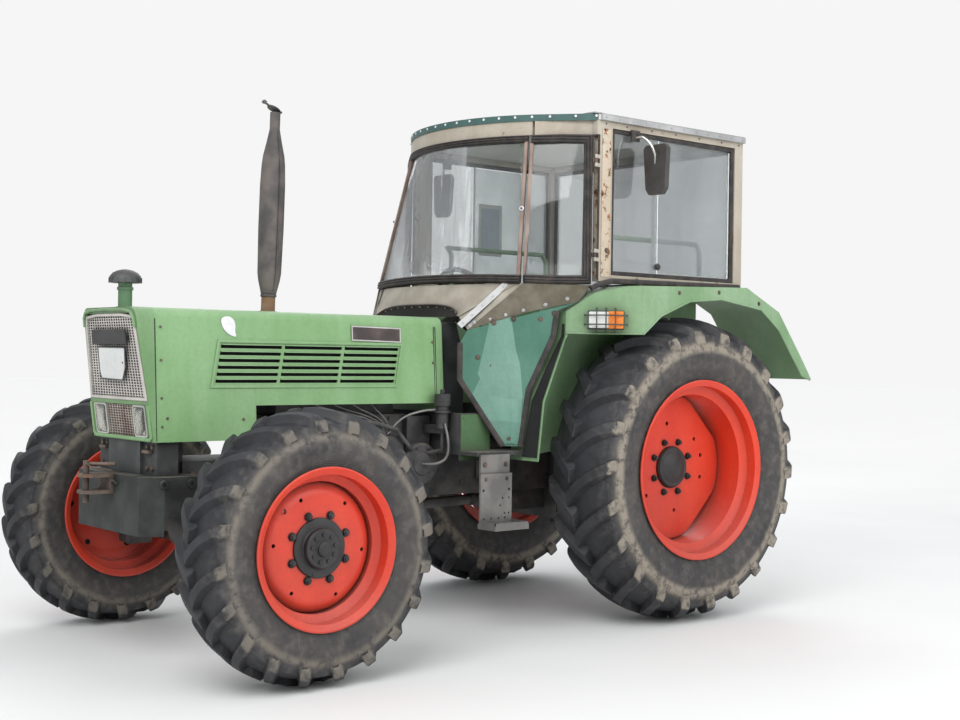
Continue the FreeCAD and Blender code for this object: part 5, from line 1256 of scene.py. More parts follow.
def pane(share, z, out=0.0):
    """A place on the door's ruled upper part, from its front edge to the hinges."""
    up = (z - SCREEN_LOW) / (SCREEN_TOP - SCREEN_LOW)
    a, b = LOW_LINE[0].lerp(LOW_LINE[1], share), TOP_LINE[0].lerp(TOP_LINE[1], share)
    spot = a.lerp(b, up)
    along = (LOW_LINE[1] - LOW_LINE[0]).lerp(TOP_LINE[1] - TOP_LINE[0], up)
    facing = along.cross(b - a).normalized()
    return spot + facing * out, facing


def kite(share, z, out=0.0):
    """A place on the flat lower panel."""
    spot = HINGE + ALONG * (DOOR_RUN * share)
    return Vector((spot.x, spot.y, z)) + OUTWARD * out


door_rubber, door_iron_bar, door_apron, door_strip, door_kite, door_edge, door_facet = (
    Form() for _ in range(7))
corners = [(0.015, 1.711), (0.50, 1.711), (0.93, 1.716), (0.932, 1.90), (0.932, 2.20), (0.932, 2.405),
           (0.50, 2.410), (0.015, 2.410)]
path = [pane(u, z)[0] for u, z in corners]
normals = [pane(u, z)[1] for u, z in corners]
wide_ribs = [(u * 1.05, v) for u, v in RIBS]
door_rubber.sweep(path, wide_ribs, normals)
door_rubber.loft([[pane(u, z, out)[0]
                   for u, z in ((0.86, 1.735), (0.99, 1.700), (0.99, 2.42), (0.86, 2.39))]
                  for out in (-0.010, 0.008)])
path = [pane(0.022, z, 0.002)[0] for z in (1.725, 1.95, 2.20, 2.40)]
door_iron_bar.sweep(path, flat_section(0.0085, -0.008, 0.005), [pane(0.03, 2.0)[1]] * 4)
KITE = [(0.937, 1.462), (0.990, 1.400), (0.990, 1.222), (0.667, 0.902), (0.538, 0.900), (0.481, 1.175),
        (0.302, 1.440), (0.280, 1.560), (0.121, 1.608)]
door_kite.loft([[kite(u, z, out) for u, z in KITE] for out in (-0.004, 0.004)])
# the folded centre facet: a raised wedge from the skirt down to the toe, with a dent across it
ridge = [(0.700, 1.512), (0.640, 1.30), (0.600, 1.13), (0.600, 1.02), (0.610, 0.915)]
left = [(0.780, 1.496), (0.860, 1.25), (0.925, 1.160), (0.800, 1.03), (0.668, 0.912)]
right = [(0.600, 1.532), (0.545, 1.30), (0.520, 1.13), (0.525, 1.02), (0.545, 0.910)]
lifts = [0.005, 0.030, 0.007, 0.026, 0.010]
rings = []
for (lu, lz), (mu, mz), (ru, rz), lift in zip(left, ridge, right, lifts):
    rings.append([kite(lu, lz, 0.0035), kite((lu + mu) / 2, (lz + mz) / 2, lift * 0.55 + 0.002),
                  kite(mu, mz, lift), kite((mu + ru) / 2, (mz + rz) / 2, lift * 0.6 + 0.002),
                  kite(ru, rz, 0.0035), kite(ru, rz, -0.003), kite(lu, lz, -0.003)])
door_facet.loft(rings)
for u, z in ((0.745, 1.50), (0.86, 1.33), (0.76, 1.29), (0.60, 1.52), (0.40, 1.52), (0.62, 0.94),
             (0.30, 1.55)):
    door_edge.bolt(kite(u, z, 0.010 if 0.55 < u < 0.8 else 0.004), OUTWARD, 0.009, 0.006)
edge_rubber = Form()
for run in (KITE[1:4], KITE[4:8]):
    edge_rubber.sweep([kite(u, z, 0.001) for u, z in run], bead_section(0.013, 0.008, -0.009, 0.006, 0.010),
                      OUTWARD)
low_edge = [kite(0.937, 1.462), kite(0.70, 1.514), kite(0.45, 1.562), kite(0.121, 1.608)]
top_edge = [LOW_LINE[0].lerp(LOW_LINE[1], t) for t in (0.0, 0.33, 0.66, 1.0)]
sheet = []
for a, b in zip(low_edge, top_edge):
    sheet.append([a - OUTWARD * 0.003, a + OUTWARD * 0.003, a.lerp(b, 0.5) + OUTWARD * 0.004,
                  b + OUTWARD * 0.004, b - OUTWARD * 0.002])
door_apron.loft(sheet)
bar_from, bar_to = Vector((0.505, -0.968, 1.688)), Vector((0.368, -1.150, 1.478))
mid_out = (OUTWARD + Vector((0, -0.5, 0.5))).normalized()
for shift in (0.0, 0.045):
    along = Vector((0.045, 0.062, -0.004)).normalized() * shift
    door_strip.sweep([bar_from + along + mid_out * 0.008,
                      bar_from.lerp(bar_to, 0.5) + along + mid_out * 0.008,
                      bar_to + along + mid_out * 0.008], flat_section(0.017, -0.003, 0.0015), mid_out)
for t in (0.08, 0.30, 0.52, 0.74, 0.93):
    door_strip.rivet(bar_from.lerp(bar_to, t) + mid_out * 0.010, mid_out, 0.004)
flange_bolts = Form()
for t in (0.06, 0.20, 0.34, 0.50, 0.70, 0.90):
    spot = low_edge[0].lerp(low_edge[3], t) + Vector((0, 0, 0.028)) + OUTWARD * 0.006
    flange_bolts.bolt(spot, OUTWARD, 0.008, 0.005)
# facet and panel are one teal paint: the facet's lighter copy is painted light, the light its fold catches,
# and the panel keeps the darker teal
lit_facet_teal = painted("lit_facet_teal", (0.085, 0.215, 0.160), (0.170, 0.310, 0.250), rust=0.10, dust=0.3,
                     rough=0.36, chips=0.05, streak=0.3)
kite_teal = painted("kite_teal", (0.034, 0.130, 0.086), (0.078, 0.200, 0.145), rust=0.14, dust=0.35,
                    rough=0.38, chips=0.05, streak=0.3)
stained = iron("stained_zinc", (0.115, 0.100, 0.068), (0.20, 0.18, 0.135), rough=0.55, rust=0.35, dust=0.3,
               metallic=0.2)
for side, end in SIDES:
    at = flip(side)
    body = "door_" + end
    rows = (("rubber", door_rubber, rubber, "black_rubber"), ("bar", door_iron_bar, bar_brown, "bare_steel"),
            ("apron", door_apron, stained, "zinc_sheet"), ("strip", door_strip, alloy_bright, "zinc_sheet"),
            ("panel", door_kite, kite_teal, "door_green"), ("facet", door_facet, lit_facet_teal, "door_green"),
            ("edging", edge_rubber, rubber, "black_rubber"), ("bolts", door_edge, screw_iron, "dark_iron"),
            ("flange_bolts", flange_bolts, alloy_bright, "zinc_sheet"))
    for part, form, finish, slot in rows:
        piece(f"door_{part}_{end}", Form().add(form, at), finish, body,
              ("door_" + end,) if part == "panel" else (), smooth=7 if part in ("panel", "facet") else 40)
    hinges = Form()
    for z in (1.8386, 2.3006):
        hinges.collar(z - 0.0115, z + 0.0115, 0.0, 0.008, (HINGE_X, HINGE_Y, 0), "Z", 16)
        hinges.box(0.722, 0.746, -0.633, -0.620, z - 0.011, z + 0.011)
    piece(f"door_hinges_{end}", Form().add(hinges, at), screw_iron, body)


# Wheel houses: folded green sheet with a rolled edge and bolts along the top, and a near-black strip down
# the inner edge of each front face, painted shade of the gap behind the door
fender_green = painted("fender_green", (0.165, 0.290, 0.140), (0.260, 0.395, 0.235), rust=0.16, dust=0.5,
                       rough=0.42)
dress("fender_left fender_right", fender_green, 0.0018)
beads, fender_bolts = Form(), Form()
lip_line = [(-0.455, 1.452), (-0.330, 1.546), (-0.120, 1.625), (0.120, 1.645), (0.440, 1.603),
            (0.590, 1.500), (0.795, 1.255), (0.868, 1.232)]
beads.tube([(0.928, y, z) for y, z in lip_line], 0.0055, 8)
beads.tube([(0.664, -0.7225, 1.455), (0.9285, -0.4575, 1.455)], 0.0050, 8)
for y, z in ((-0.38, 1.700), (-0.10, 1.707), (0.18, 1.713)):
    fender_bolts.bolt((0.83, y, z - 0.004), (0, -0.03, 1), 0.010, 0.006)
for y, z in ((-0.20, 1.665), (0.10, 1.678), (0.42, 1.632)):
    fender_bolts.bolt((0.930, y, z), (1, 0, 0), 0.008, 0.005)
beads.mirrored()
fender_bolts.mirrored()
piece("fender_beads", beads, fender_green, smooth=60)
piece("fender_bolts", fender_bolts, screw_iron)
# near-black strips on the fenders' front faces: painted shade of the gap behind each door
seals = Form()
seals.loft([[(inner, y - 0.0015, z), (0.655, y - 0.0015, z), (0.655, y - 0.0040, z), (inner, y - 0.0040, z)]
            for inner, y, z in ((0.550, -0.893, 0.850), (0.580, -0.862, 1.120), (0.604, -0.7935, 1.280),
                                (0.634, -0.7221, 1.4395), (0.640, -0.7221, 1.500))])
gap_shade_black = plastic("gap_shade_black", (0.010, 0.010, 0.010), rough=0.75, worn=0.08)
piece("fender_gap_shades", seals.mirrored(), gap_shade_black)


# Front weight: one big casting with a rough dark skin, its lifting loop and its socket holes; the
# rusty tow jaw on its face has its pin on a chain, and the carrier behind it is bolted through
weight_iron = iron("weight_iron", (0.014, 0.017, 0.0155), (0.036, 0.042, 0.038), rough=0.55, rust=0.34,
                   dust=0.5, grain=90.0)
dress("front_weight", weight_iron, 0.006, 3)
jaw_iron = iron("jaw_iron", (0.085, 0.060, 0.048), (0.17, 0.125, 0.10), rough=0.6, rust=0.85, dust=0.2)
dress("tow_jaw", jaw_iron, 0.0018)
bits, holes = Form(), Form()
bits.tube([(0.086 + dx, -2.790 - dy, 0.772 + dz)
           for dx, dy, dz in ((-0.014, -0.002, 0.0), (-0.014, 0.012, 0.002), (-0.008, 0.020, 0.012),
                              (0.008, 0.020, 0.012), (0.014, 0.012, 0.002), (0.014, -0.002, 0.0))], 0.005, 8)
# the near-black discs in the socket holes are painted shade; the rings round them are fittings
for side in (1, -1):
    for y in (-2.704, -2.578):
        holes.turned([(0.0, 0.0), (0.0, 0.0085), (-side * 0.004, 0.0085)], (side * 0.3535, y, 0.782), "X",
                     18, loop=False)
        bits.turned([(side * 0.345, 0.0095), (side * 0.345, 0.019), (side * 0.3535, 0.017),
                     (side * 0.3535, 0.0095)], (0, y, 0.782), "X", 24)
piece("weight_fittings", bits, weight_iron)
piece("weight_sockets", holes, shade_and_seam_black)
chain = Form()
chain.tube([(0.006, -2.903, 0.862), (0.030, -2.880, 0.842), (0.052, -2.840, 0.836), (0.060, -2.800, 0.826)],
           0.003, 6)
piece("pin_chain", chain, jaw_iron)
grey_iron = iron("carrier_iron", (0.035, 0.037, 0.037), (0.075, 0.079, 0.079), rough=0.5, rust=0.22,
                 dust=0.4)
dress("front_carrier", grey_iron, 0.004)
carrier = Form()
for x in (-0.235, -0.19, 0.19, 0.235):
    for z in (0.84, 0.93):
        carrier.bolt((x, -2.7005, z), (0, -1, 0), 0.010, 0.008)
for x in (-0.205, 0.205):
    carrier.box(x - 0.030, x + 0.030, -2.722, -2.700, 0.905, 0.918)
for y in (-2.48, -2.42, -2.24, -2.18):
    for side in (1, -1):
        carrier.bolt((side * 0.1655, y, 0.800), (side, 0, 0), 0.013, 0.010)
piece("carrier_bolts", carrier, screw_iron, bevel=0.0008)


# Front axle: a cast driven beam with its bolted drum, forks with king-pin caps, knuckles with a
# collar each, the track rod with its nuts, and the drive shaft's yokes
axle_iron = iron("axle_iron", (0.030, 0.030, 0.031), (0.080, 0.074, 0.068), rough=0.52, rust=0.25, dust=0.5)
dress("front_axle knuckle_left knuckle_right drive_shaft", axle_iron, 0.004)
dress("track_rod", axle_iron, 0.002)
FRONT_Y, FRONT_Z = -2.330, 0.560
axle = Form()
for i in range(12):
    a = math.tau * i / 12
    for x, direction in ((0.1355, 1), (-0.1355, -1)):
        axle.bolt((x, FRONT_Y + 0.080 * math.cos(a), FRONT_Z + 0.080 * math.sin(a)), (direction, 0, 0),
                  0.009, 0.008)
for side in (1, -1):
    for dy in (-0.028, 0.028):
        for dx in (-0.028, 0.028):
            axle.bolt((side * (0.735 + dx * 0.8), FRONT_Y + dy, 0.7125), (0, 0, 1), 0.008, 0.007)
    axle.turned([(0.710, 0.0), (0.710, 0.030), (0.722, 0.028), (0.724, 0.0)], (side * 0.735, FRONT_Y, 0),
                "Z", 24, loop=False)
piece("axle_bolts", axle, axle_iron)
for side, end in SIDES:
    at = Matrix.Translation((0, FRONT_Y, FRONT_Z))
    collar = Form().turned([(0.790, 0.092), (0.790, 0.1035), (0.806, 0.1045), (0.806, 0.092)], (0, 0, 0),
                           "X", 36)
    whole = Form().add(collar, flip(side) @ at)
    piece("knuckle_collar_" + end, whole, axle_iron, "knuckle_" + end)
rod_ends = Form()
for side in (1, -1):
    rod_ends.collar(0.0, 0.035, 0.0155, 0.0215, (side * 0.640 - 0.0175, -2.140, 0.421), "X", 6)
piece("track_rod_nuts", rod_ends, screw_iron, "track_rod")
yokes = Form()
shaft_front, shaft_back = Vector((0, -2.124, 0.560)), Vector((0, -0.641, 0.592))
for share in (0.03, 0.10, 0.92, 0.975):
    yokes.collar(-0.012, 0.012, 0.024, 0.034, shaft_front.lerp(shaft_back, share), "Y", 24)
piece("shaft_yokes", yokes, axle_iron)


# Engine block behind the sheet metal: dark painted castings with a bolted sump, side covers and
# injection lines; on its open left side the filter, the round cover and the pipes, and in front
# the finned radiator with its hose
engine_iron = iron("engine_iron", (0.030, 0.030, 0.031), (0.078, 0.073, 0.073), rough=0.5, rust=0.16,
                   dust=0.45)
dress("engine engine_side_gear", engine_iron, 0.003)
block_parts, pipes = Form(), Form()
for y in [-2.02 + 0.085 * i for i in range(8)]:
    for side in (1, -1):
        block_parts.bolt((side * 0.1755, y, 0.765), (side, 0, 0), 0.008, 0.008)
        block_parts.bolt((side * 0.1755, y, 1.030), (side, 0, 0), 0.008, 0.008)
for y in (-1.93, -1.76, -1.59):
    for side in (1, -1):
        block_parts.loft([[(side * (0.1755 + lift), y - w, 0.815), (side * (0.1755 + lift), y + w, 0.815),
                           (side * (0.1755 + lift), y + w, 0.985), (side * (0.1755 + lift), y - w, 0.985)]
                          for lift, w in ((0.0, 0.068), (0.010, 0.068), (0.016, 0.060))])
for i in range(8):
    a = math.tau * (i + 0.5) / 8
    block_parts.bolt((0.2685, -1.290 + 0.083 * math.cos(a), 0.810 + 0.083 * math.sin(a)), (1, 0, 0), 0.0065,
                     0.005)
block_parts.turned([(0.268, 0.0), (0.268, 0.055), (0.274, 0.052), (0.274, 0.0)], (0, -1.290, 0.810), "X", 32,
                   loop=False)
for i in range(14):
    a = math.tau * i / 14
    y, z = -1.275 + 0.05 * math.cos(a), 0.845 + 0.17 * math.sin(a)
    block_parts.bolt((-0.2155, y, z), (-1, 0, 0), 0.008, 0.007)
for z in (1.06, 1.115):
    block_parts.collar(z, z + 0.010, 0.0, 0.0405, (0.340, -1.228, 0), "Z", 28)
block_parts.turned([(0.955, 0.0), (0.958, 0.008), (0.975, 0.016), (0.986, 0.029), (0.990, 0.0)],
                   (0.340, -1.228, 0), "Z", 24, loop=False)
block_parts.turned([(1.150, 0.0), (1.150, 0.012), (1.172, 0.012), (1.175, 0.0)], (0.340, -1.228, 0), "Z", 6,
                   loop=False)
for i, y in enumerate((-1.92, -1.80, -1.68, -1.56)):
    pipes.tube(smoothed([(0.215, -1.50 + 0.02 * i, 0.950), (0.225, -1.54 + 0.02 * i, 1.03), (0.205, y, 1.10),
                         (0.150, y, 1.19), (0.115, y, 1.22)]), 0.0038, 8)
    block_parts.turned([(0.100, 0.0), (0.100, 0.016), (0.128, 0.013), (0.128, 0.0)], (0, y, 1.225), "X", 16,
                       loop=False)
    for side in (1, -1):
        block_parts.box(side * 0.120 - 0.004, side * 0.120 + 0.004, y - 0.045, y + 0.045, 1.26, 1.365)
pipes.tube(smoothed([(0.372, -1.238, 1.01), (0.384, -1.222, 0.93), (0.384, -1.225, 0.845),
                     (0.345, -1.262, 0.812), (0.272, -1.290, 0.811)]), 0.0065, 10)
pipes.tube(smoothed([(0.330, -1.262, 1.075), (0.300, -1.32, 1.070), (0.272, -1.42, 1.04),
                     (0.265, -1.50, 0.96)]), 0.0055, 8)
for y, z in ((-1.47, 0.80), (-1.44, 0.86), (-1.50, 0.91)):
    block_parts.bolt((0.2625, y, z), (1, 0, 0), 0.010, 0.008)
pipe_steel = iron("pipe_steel", (0.17, 0.165, 0.16), (0.27, 0.26, 0.25), rough=0.4, rust=0.15, dust=0.25,
                  metallic=0.4)
piece("engine_covers", block_parts, engine_iron, bevel=0.0010)
piece("engine_pipes", pipes, pipe_steel, smooth=60)
radiator_black = iron("radiator_core", (0.022, 0.022, 0.023), (0.050, 0.048, 0.046), rough=0.6, rust=0.1,
                      dust=0.3)
dress("radiator", radiator_black, 0.004)
fins = Form()
for i in range(34):
    x = -0.190 + 0.380 * i / 33
    fins.box(x - 0.0012, x + 0.0012, -2.6425, -2.640, 1.00, 1.42)
    fins.box(x - 0.0012, x + 0.0012, -2.560, -2.5575, 1.00, 1.42)
hose = Form().tube(smoothed([(0.10, -2.560, 1.42), (0.10, -2.48, 1.44), (0.06, -2.30, 1.42),
                             (0.03, -2.05, 1.36)]), 0.024, 14)
piece("radiator_fins", fins, radiator_black)
piece("radiator_hose", hose, rubber, smooth=60)


# Gearbox and rear axle: heavy castings with bolted flanges and a side cover on each side
dress("transmission", axle_iron, 0.002)
dress("pto_shaft drawbar hitch_brackets", axle_iron, 0.0022)
case = Form()
for side in (1, -1):
    for i in range(12):
        a = math.tau * i / 12
        case.bolt((side * 0.205, 0.145 * math.cos(a), 0.775 + 0.145 * math.sin(a)), (side, 0, 0), 0.010,
                  0.009)
    for y in (-1.18, -0.95, -0.72, -0.50, -0.36):
        case.bolt((side * 0.1505, y, 0.700), (side, 0, 0), 0.009, 0.008)
        case.bolt((side * 0.1505, y, 0.830), (side, 0, 0), 0.009, 0.008)
    case.loft([[(side * (0.150 + lift), -0.86 - w, 0.715), (side * (0.150 + lift), -0.60 + w, 0.715),
                (side * (0.150 + lift), -0.60 + w, 0.815), (side * (0.150 + lift), -0.86 - w, 0.815)]
               for lift, w in ((0.0, 0.0), (0.012, 0.0), (0.018, -0.010))])
for x in (-0.17, -0.06, 0.06, 0.17):
    for z in (0.845, 0.975):
        case.bolt((x, 0.4505, z), (0, 1, 0), 0.010, 0.009)
for i in range(8):
    a = math.tau * (i + 0.5) / 8
    case.bolt((0.043 * math.cos(a), 0.3425, 0.600 + 0.043 * math.sin(a)), (0, 1, 0), 0.006, 0.005)
for x in (-0.12, 0.12):
    for z in (0.55, 0.66, 0.78):
        case.bolt((x, 0.3305, z), (0, 1, 0), 0.009, 0.008)
piece("case_bolts", case, axle_iron)


# Driver's floor and console: dark painted sheet with a ribbed rubber mat, a green side panel by
# each step, and a moulded console with four dials and a row of knobs on its slope
floor_dark = iron("floor_dark", (0.030, 0.032, 0.031), (0.070, 0.070, 0.066), rough=0.6, rust=0.25, dust=0.6)
dress("platform", floor_dark, 0.002)
mat, sides = Form(), Form()
mat.box(-0.41, 0.41, -0.985, -0.36, 0.880, 0.888)
for i in range(26):
    x = -0.40 + 0.80 * i / 25
    mat.box(x - 0.004, x + 0.004, -0.975, -0.37, 0.887, 0.8915)
sides.box(0.4320, 0.4345, -1.186, -1.004, 0.836, 1.054)
for y in (-1.170, -1.020):
    for z in (0.850, 1.040):
        sides.bolt((0.4345, y, z), (1, 0, 0), 0.006, 0.004)
piece("floor_mat", mat, rubber)
side_green = painted("side_green", (0.040, 0.100, 0.034), (0.075, 0.165, 0.065), rust=0.2, dust=0.6,
                     rough=0.45)
piece("floor_side_panels", sides.mirrored(), side_green, bevel=0.0008)
console_black = plastic("console_black", (0.022, 0.022, 0.024), rough=0.55, worn=0.3)
dial_white = plastic("dial_face", (0.60, 0.60, 0.56), rough=0.35, worn=0.1)
dress("console", console_black, 0.008, 4)
DIALS_Y, DIALS_Z = -1.035, 1.415
slope = Vector((0.0, 0.9594, 0.2821))
rise = Vector((0.0, -0.2821, 0.9594))
across = Vector((1, 0, 0))
dials, faces, knobs = Form(), Form(), Form()
for x, lift, size in ((-0.150, 0.030, 0.040), (0.150, 0.030, 0.040), (-0.075, -0.045, 0.026),
                      (0.075, -0.045, 0.026)):
    at = Vector((x, DIALS_Y, DIALS_Z)) + rise * lift
    ring = []
    for i in range(28):
        a = math.tau * i / 28
        ring.append(at + (across * math.cos(a) + rise * math.sin(a)) * size)
    dials.tube([p + slope * 0.002 for p in ring], 0.0045, 8, loop=True)
    faces.slab([p - slope * 0.002 for p in ring], slope * 0.004)
    dials.slab([at + Vector((-0.0012, 0, 0)) + slope * 0.003, at + Vector((0.0012, 0, 0)) + slope * 0.003,
                at + Vector((0.0008 + size * 0.4, 0, 0)) + rise * size * 0.55 + slope * 0.003,
                at + Vector((-0.0008 + size * 0.4, 0, 0)) + rise * size * 0.55 + slope * 0.003],
               slope * 0.001)
for x in (-0.205, -0.17, 0.17, 0.205):
    at = Vector((x, DIALS_Y, DIALS_Z)) - rise * 0.055
    knobs.bolt(at, slope, 0.010, 0.014, 12, 1.3)
piece("console_dials", dials, console_black, smooth=60)
piece("console_faces", faces, dial_white)
piece("console_knobs", knobs, console_black)


# Steering: a painted column with a pleated boot at its foot, and a moulded wheel
dress("steering_column", floor_dark, 0.003)
wheel_black = plastic("wheel_black", (0.018, 0.018, 0.019), rough=0.38, worn=0.3)
dress("steering_wheel", wheel_black, 0.002)
foot, top = Vector((0, -1.06, 1.42)), Vector((0, -0.80, 1.60))
boot = Form().tube([foot.lerp(top, t) for t in (0.06, 0.10, 0.14, 0.18, 0.22, 0.26, 0.30)],
                   [0.044, 0.036, 0.041, 0.034, 0.038, 0.031, 0.034], 24)
piece("column_boot", boot, rubber, smooth=60)


# Steps: galvanised sheet hung from the floor, with small punched holes and a folded tread
step_zinc = iron("step_zinc", (0.145, 0.140, 0.133), (0.225, 0.215, 0.200), rough=0.45, rust=0.18, dust=0.5,
                 metallic=0.35)
ladder, punches = Form(), Form()
ladder.box(0.560, 0.572, -1.175, -0.995, 0.768, 0.868)
ladder.box(0.571, 0.582, -1.183, -0.987, 0.535, 0.778)
ladder.box(0.572, 0.700, -1.190, -0.980, 0.520, 0.545)
for y, z, half in ((-1.165, 0.700, 0.006), (-1.005, 0.700, 0.006), (-1.045, 0.660, 0.004),
                   (-1.005, 0.660, 0.004), (-1.060, 0.625, 0.004), (-1.030, 0.587, 0.004),
                   (-1.005, 0.587, 0.004), (-1.160, 0.565, 0.004), (-1.115, 0.565, 0.004),
                   (-1.070, 0.565, 0.005), (-1.030, 0.565, 0.005)):
    punches.box(0.560, 0.590, y - half, y + half, z - half, z + half)
for row in range(3):
    for column in range(4):
        x, y = 0.612 + 0.031 * row, -1.155 + 0.047 * column
        punches.box(x - 0.009, x + 0.009, y - 0.014, y + 0.014, 0.51, 0.56)
lips, step_bolts = Form(), Form()
lips.box(0.6955, 0.7000, -1.190, -0.980, 0.545, 0.556)
for y in (-1.1895, -0.9835):
    lips.box(0.584, 0.7000, y - 0.0005, y + 0.0035, 0.545, 0.556)
for y in (-1.150, -1.020):
    step_bolts.bolt((0.5722, y, 0.820), (1, 0, 0), 0.009, 0.007)
    step_bolts.bolt((0.5822, y, 0.752), (1, 0, 0), 0.007, 0.005)
for side, end in SIDES:
    turn = flip(side)
    piece("step_" + end, Form().add(ladder, turn), step_zinc, replaced=("steps",),
          cut=Form().add(punches, turn), bevel=0.0008)
piece("step_lips", lips.mirrored(), step_zinc)
piece("step_bolts", step_bolts.mirrored(), screw_iron)


# Seat: a pressed base under two cushions, pan and back, of black vinyl over foam
seat_iron = iron("seat_iron", (0.035, 0.035, 0.036), (0.075, 0.073, 0.070), rough=0.5, rust=0.3, dust=0.3)
vinyl = Surface("vinyl")
creases = vinyl.noise(34.0, 6.0, rough=0.65)
vinyl.finish(vinyl.mix(vinyl.band(vinyl.noise(6.0, 5.0), 0.35, 0.7), (0.020, 0.019, 0.019),
                       (0.050, 0.047, 0.044)), 0.40 + creases * 0.25,
             height=creases + vinyl.noise(260.0, 2.0) * 0.4, relief=0.0010)
dress("seat_base", seat_iron, 0.004)
COVER, MOST_SWELL = 0.012, 0.026
SWELL_FRAMES = 20


def cushion(name, half, centre):
    """A foam pad blown against its cover, held a little inside its own solid's box."""
    form = Form().box(*[c + s * (h - COVER) for c, h in zip(centre, half) for s in (-1, 1)])
    obj = shaped(name, form)
    edge = obj.modifiers.new("edge", "BEVEL")
    edge.width = 0.018
    edge.segments = 4
    grid = obj.modifiers.new("grid", "REMESH")
    grid.mode = "VOXEL"
    grid.voxel_size = 0.006
    settle(obj, 60)
    obj.modifiers.clear()
    rest = [v.co.copy() for v in obj.data.vertices]
    cloth = obj.modifiers.new("cloth", "CLOTH")
    cloth.settings.use_pressure = True
    cloth.settings.uniform_pressure_force = 4.0
    cloth.settings.effector_weights.gravity = 0.0
    cloth.point_cache.frame_start = 1
    cloth.point_cache.frame_end = SWELL_FRAMES
    for step in range(1, SWELL_FRAMES + 1):
        bpy.context.scene.frame_set(step)
    settle(obj, 60)
    obj.modifiers.clear()
    for vertex, start in zip(obj.data.vertices, rest):
        move = vertex.co - start
        if move.length > MOST_SWELL:
            vertex.co = start + move.normalized() * MOST_SWELL
    bpy.context.scene.frame_set(1)
    low = Vector((centre[0] - half[0], centre[1] + AXLE_Y - half[1], centre[2] - half[2]))
    high = Vector((centre[0] + half[0], centre[1] + AXLE_Y + half[1], centre[2] + half[2]))
    for vertex in obj.data.vertices:
        vertex.co = Vector([min(max(c, a), b) for c, a, b in zip(vertex.co, low, high)])
    obj.modifiers.new("fine", "SUBSURF").levels = 1
    settle(obj, 70)
    obj.data.materials.append(vinyl.material)
    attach(obj, "chassis")
    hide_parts("seat_cushions")
    return obj


cushion("seat_pad", (0.235, 0.225, 0.0375), (0.0, -0.105, 1.2175))
cushion("seat_back_pad", (0.225, 0.040, 0.180), (0.0, 0.135, 1.380))


# Pedals, levers and rails: bent rods with black knobs and pleated boots, ribbed rubber pedal
# pads, and green guard rails across the side windows
rod_steel = iron("rod_steel", (0.11, 0.11, 0.112), (0.20, 0.195, 0.19), rough=0.38, rust=0.2, dust=0.2,
                 metallic=0.5)
dress("controls", rod_steel, 0.0015)
knobs, boots, pads = Form(), Form(), Form()
# columns: across, back from the axle, height of the knob, lean to the rear
for x, y, z, lean in ((0.060, -0.620, 1.180, -0.040), (-0.060, -0.640, 1.160, -0.030),
                      (0.400, -0.300, 1.360, -0.060), (0.370, -0.180, 1.340, -0.050)):
    base = 0.888 if x < 0.2 else 1.074
    knobs.turned([(z - 0.022, 0.0), (z - 0.0225, 0.010), (z - 0.012, 0.0205), (z, 0.0235),
                  (z + 0.013, 0.0205), (z + 0.0235, 0.010), (z + 0.025, 0.0)], (x, y + lean, 0), "Z", 20,
                 loop=False)
    for k in range(4):
        boots.turned([(base + 0.010 * k, 0.0), (base + 0.010 * k, 0.034 - 0.004 * k),
                      (base + 0.010 * k + 0.006, 0.036 - 0.004 * k),
                      (base + 0.010 * k + 0.010, 0.026 - 0.004 * k), (base + 0.010 * k + 0.010, 0.0)],
                     (x, y, 0), "Z", 24, loop=False)
for x in (-0.18, -0.09, 0.13):
    pads.box(x - 0.034, x + 0.034, -0.9385, -0.9335, 0.913, 0.977)
    for i in range(6):
        z = 0.920 + 0.010 * i
        pads.box(x - 0.031, x + 0.031, -0.934, -0.931, z - 0.0022, z + 0.0022)
piece("lever_knobs", knobs, wheel_black, smooth=60)
piece("lever_boots", boots, rubber)
piece("pedal_pads", pads, rubber, bevel=0.001)
rail_green = painted("rail_paint", (0.150, 0.270, 0.150), (0.26, 0.36, 0.25), rust=0.3, dust=0.3)
dress("guard_rails", rail_green, 0.002)


# Windows: thick black rubber round each pane; each side window has a greyish sliding pane with
# white edges and a round knob over its rear part, and the far one holds a blank placard
dress("window_seals", rubber, 0.004, 3)
film = Surface("slider_film")
light = coloured(film.tree, "BsdfTransparent", (0.86, 0.88, 0.88))
haze = coloured(film.tree, "BsdfDiffuse", (0.62, 0.64, 0.64))
haze_share = film.band(film.noise(5.0, 5.0), 0.3, 0.7) * 0.16 + 0.10
end_at(film.tree, blend(film.tree, haze_share, light, haze))
edge_white = plastic("edge_white", (0.62, 0.63, 0.62), rough=0.4, worn=0.2)
sliders, edges, knob = Form(), Form(), Form()
sliders.box(0.7150, 0.7185, -0.165, 0.405, 1.775, 2.440)
edges.box(0.7135, 0.7200, -0.172, -0.162, 1.768, 2.446)
edges.box(0.7135, 0.7200, -0.172, 0.405, 1.764, 1.775)
knob.turned([(0.719, 0.0), (0.719, 0.014), (0.733, 0.017), (0.738, 0.013), (0.739, 0.0)], (0, -0.146, 1.805),
            "X", 24, loop=False)
piece("sliding_panes", sliders.mirrored(), film)
piece("sliding_edges", edges.mirrored(), edge_white, bevel=0.0008)
piece("sliding_knobs", knob.mirrored(), wheel_black)
placard = Form().box(-0.7128, -0.7112, -0.135, 0.045, 1.930, 2.235)
face = Form().box(-0.7112, -0.7104, -0.115, 0.025, 1.955, 2.210)
placard_grey = plastic("placard_grey", (0.42, 0.48, 0.55), rough=0.5, worn=0.2)
piece("placard", placard, edge_white)
piece("placard_face", face, placard_grey)


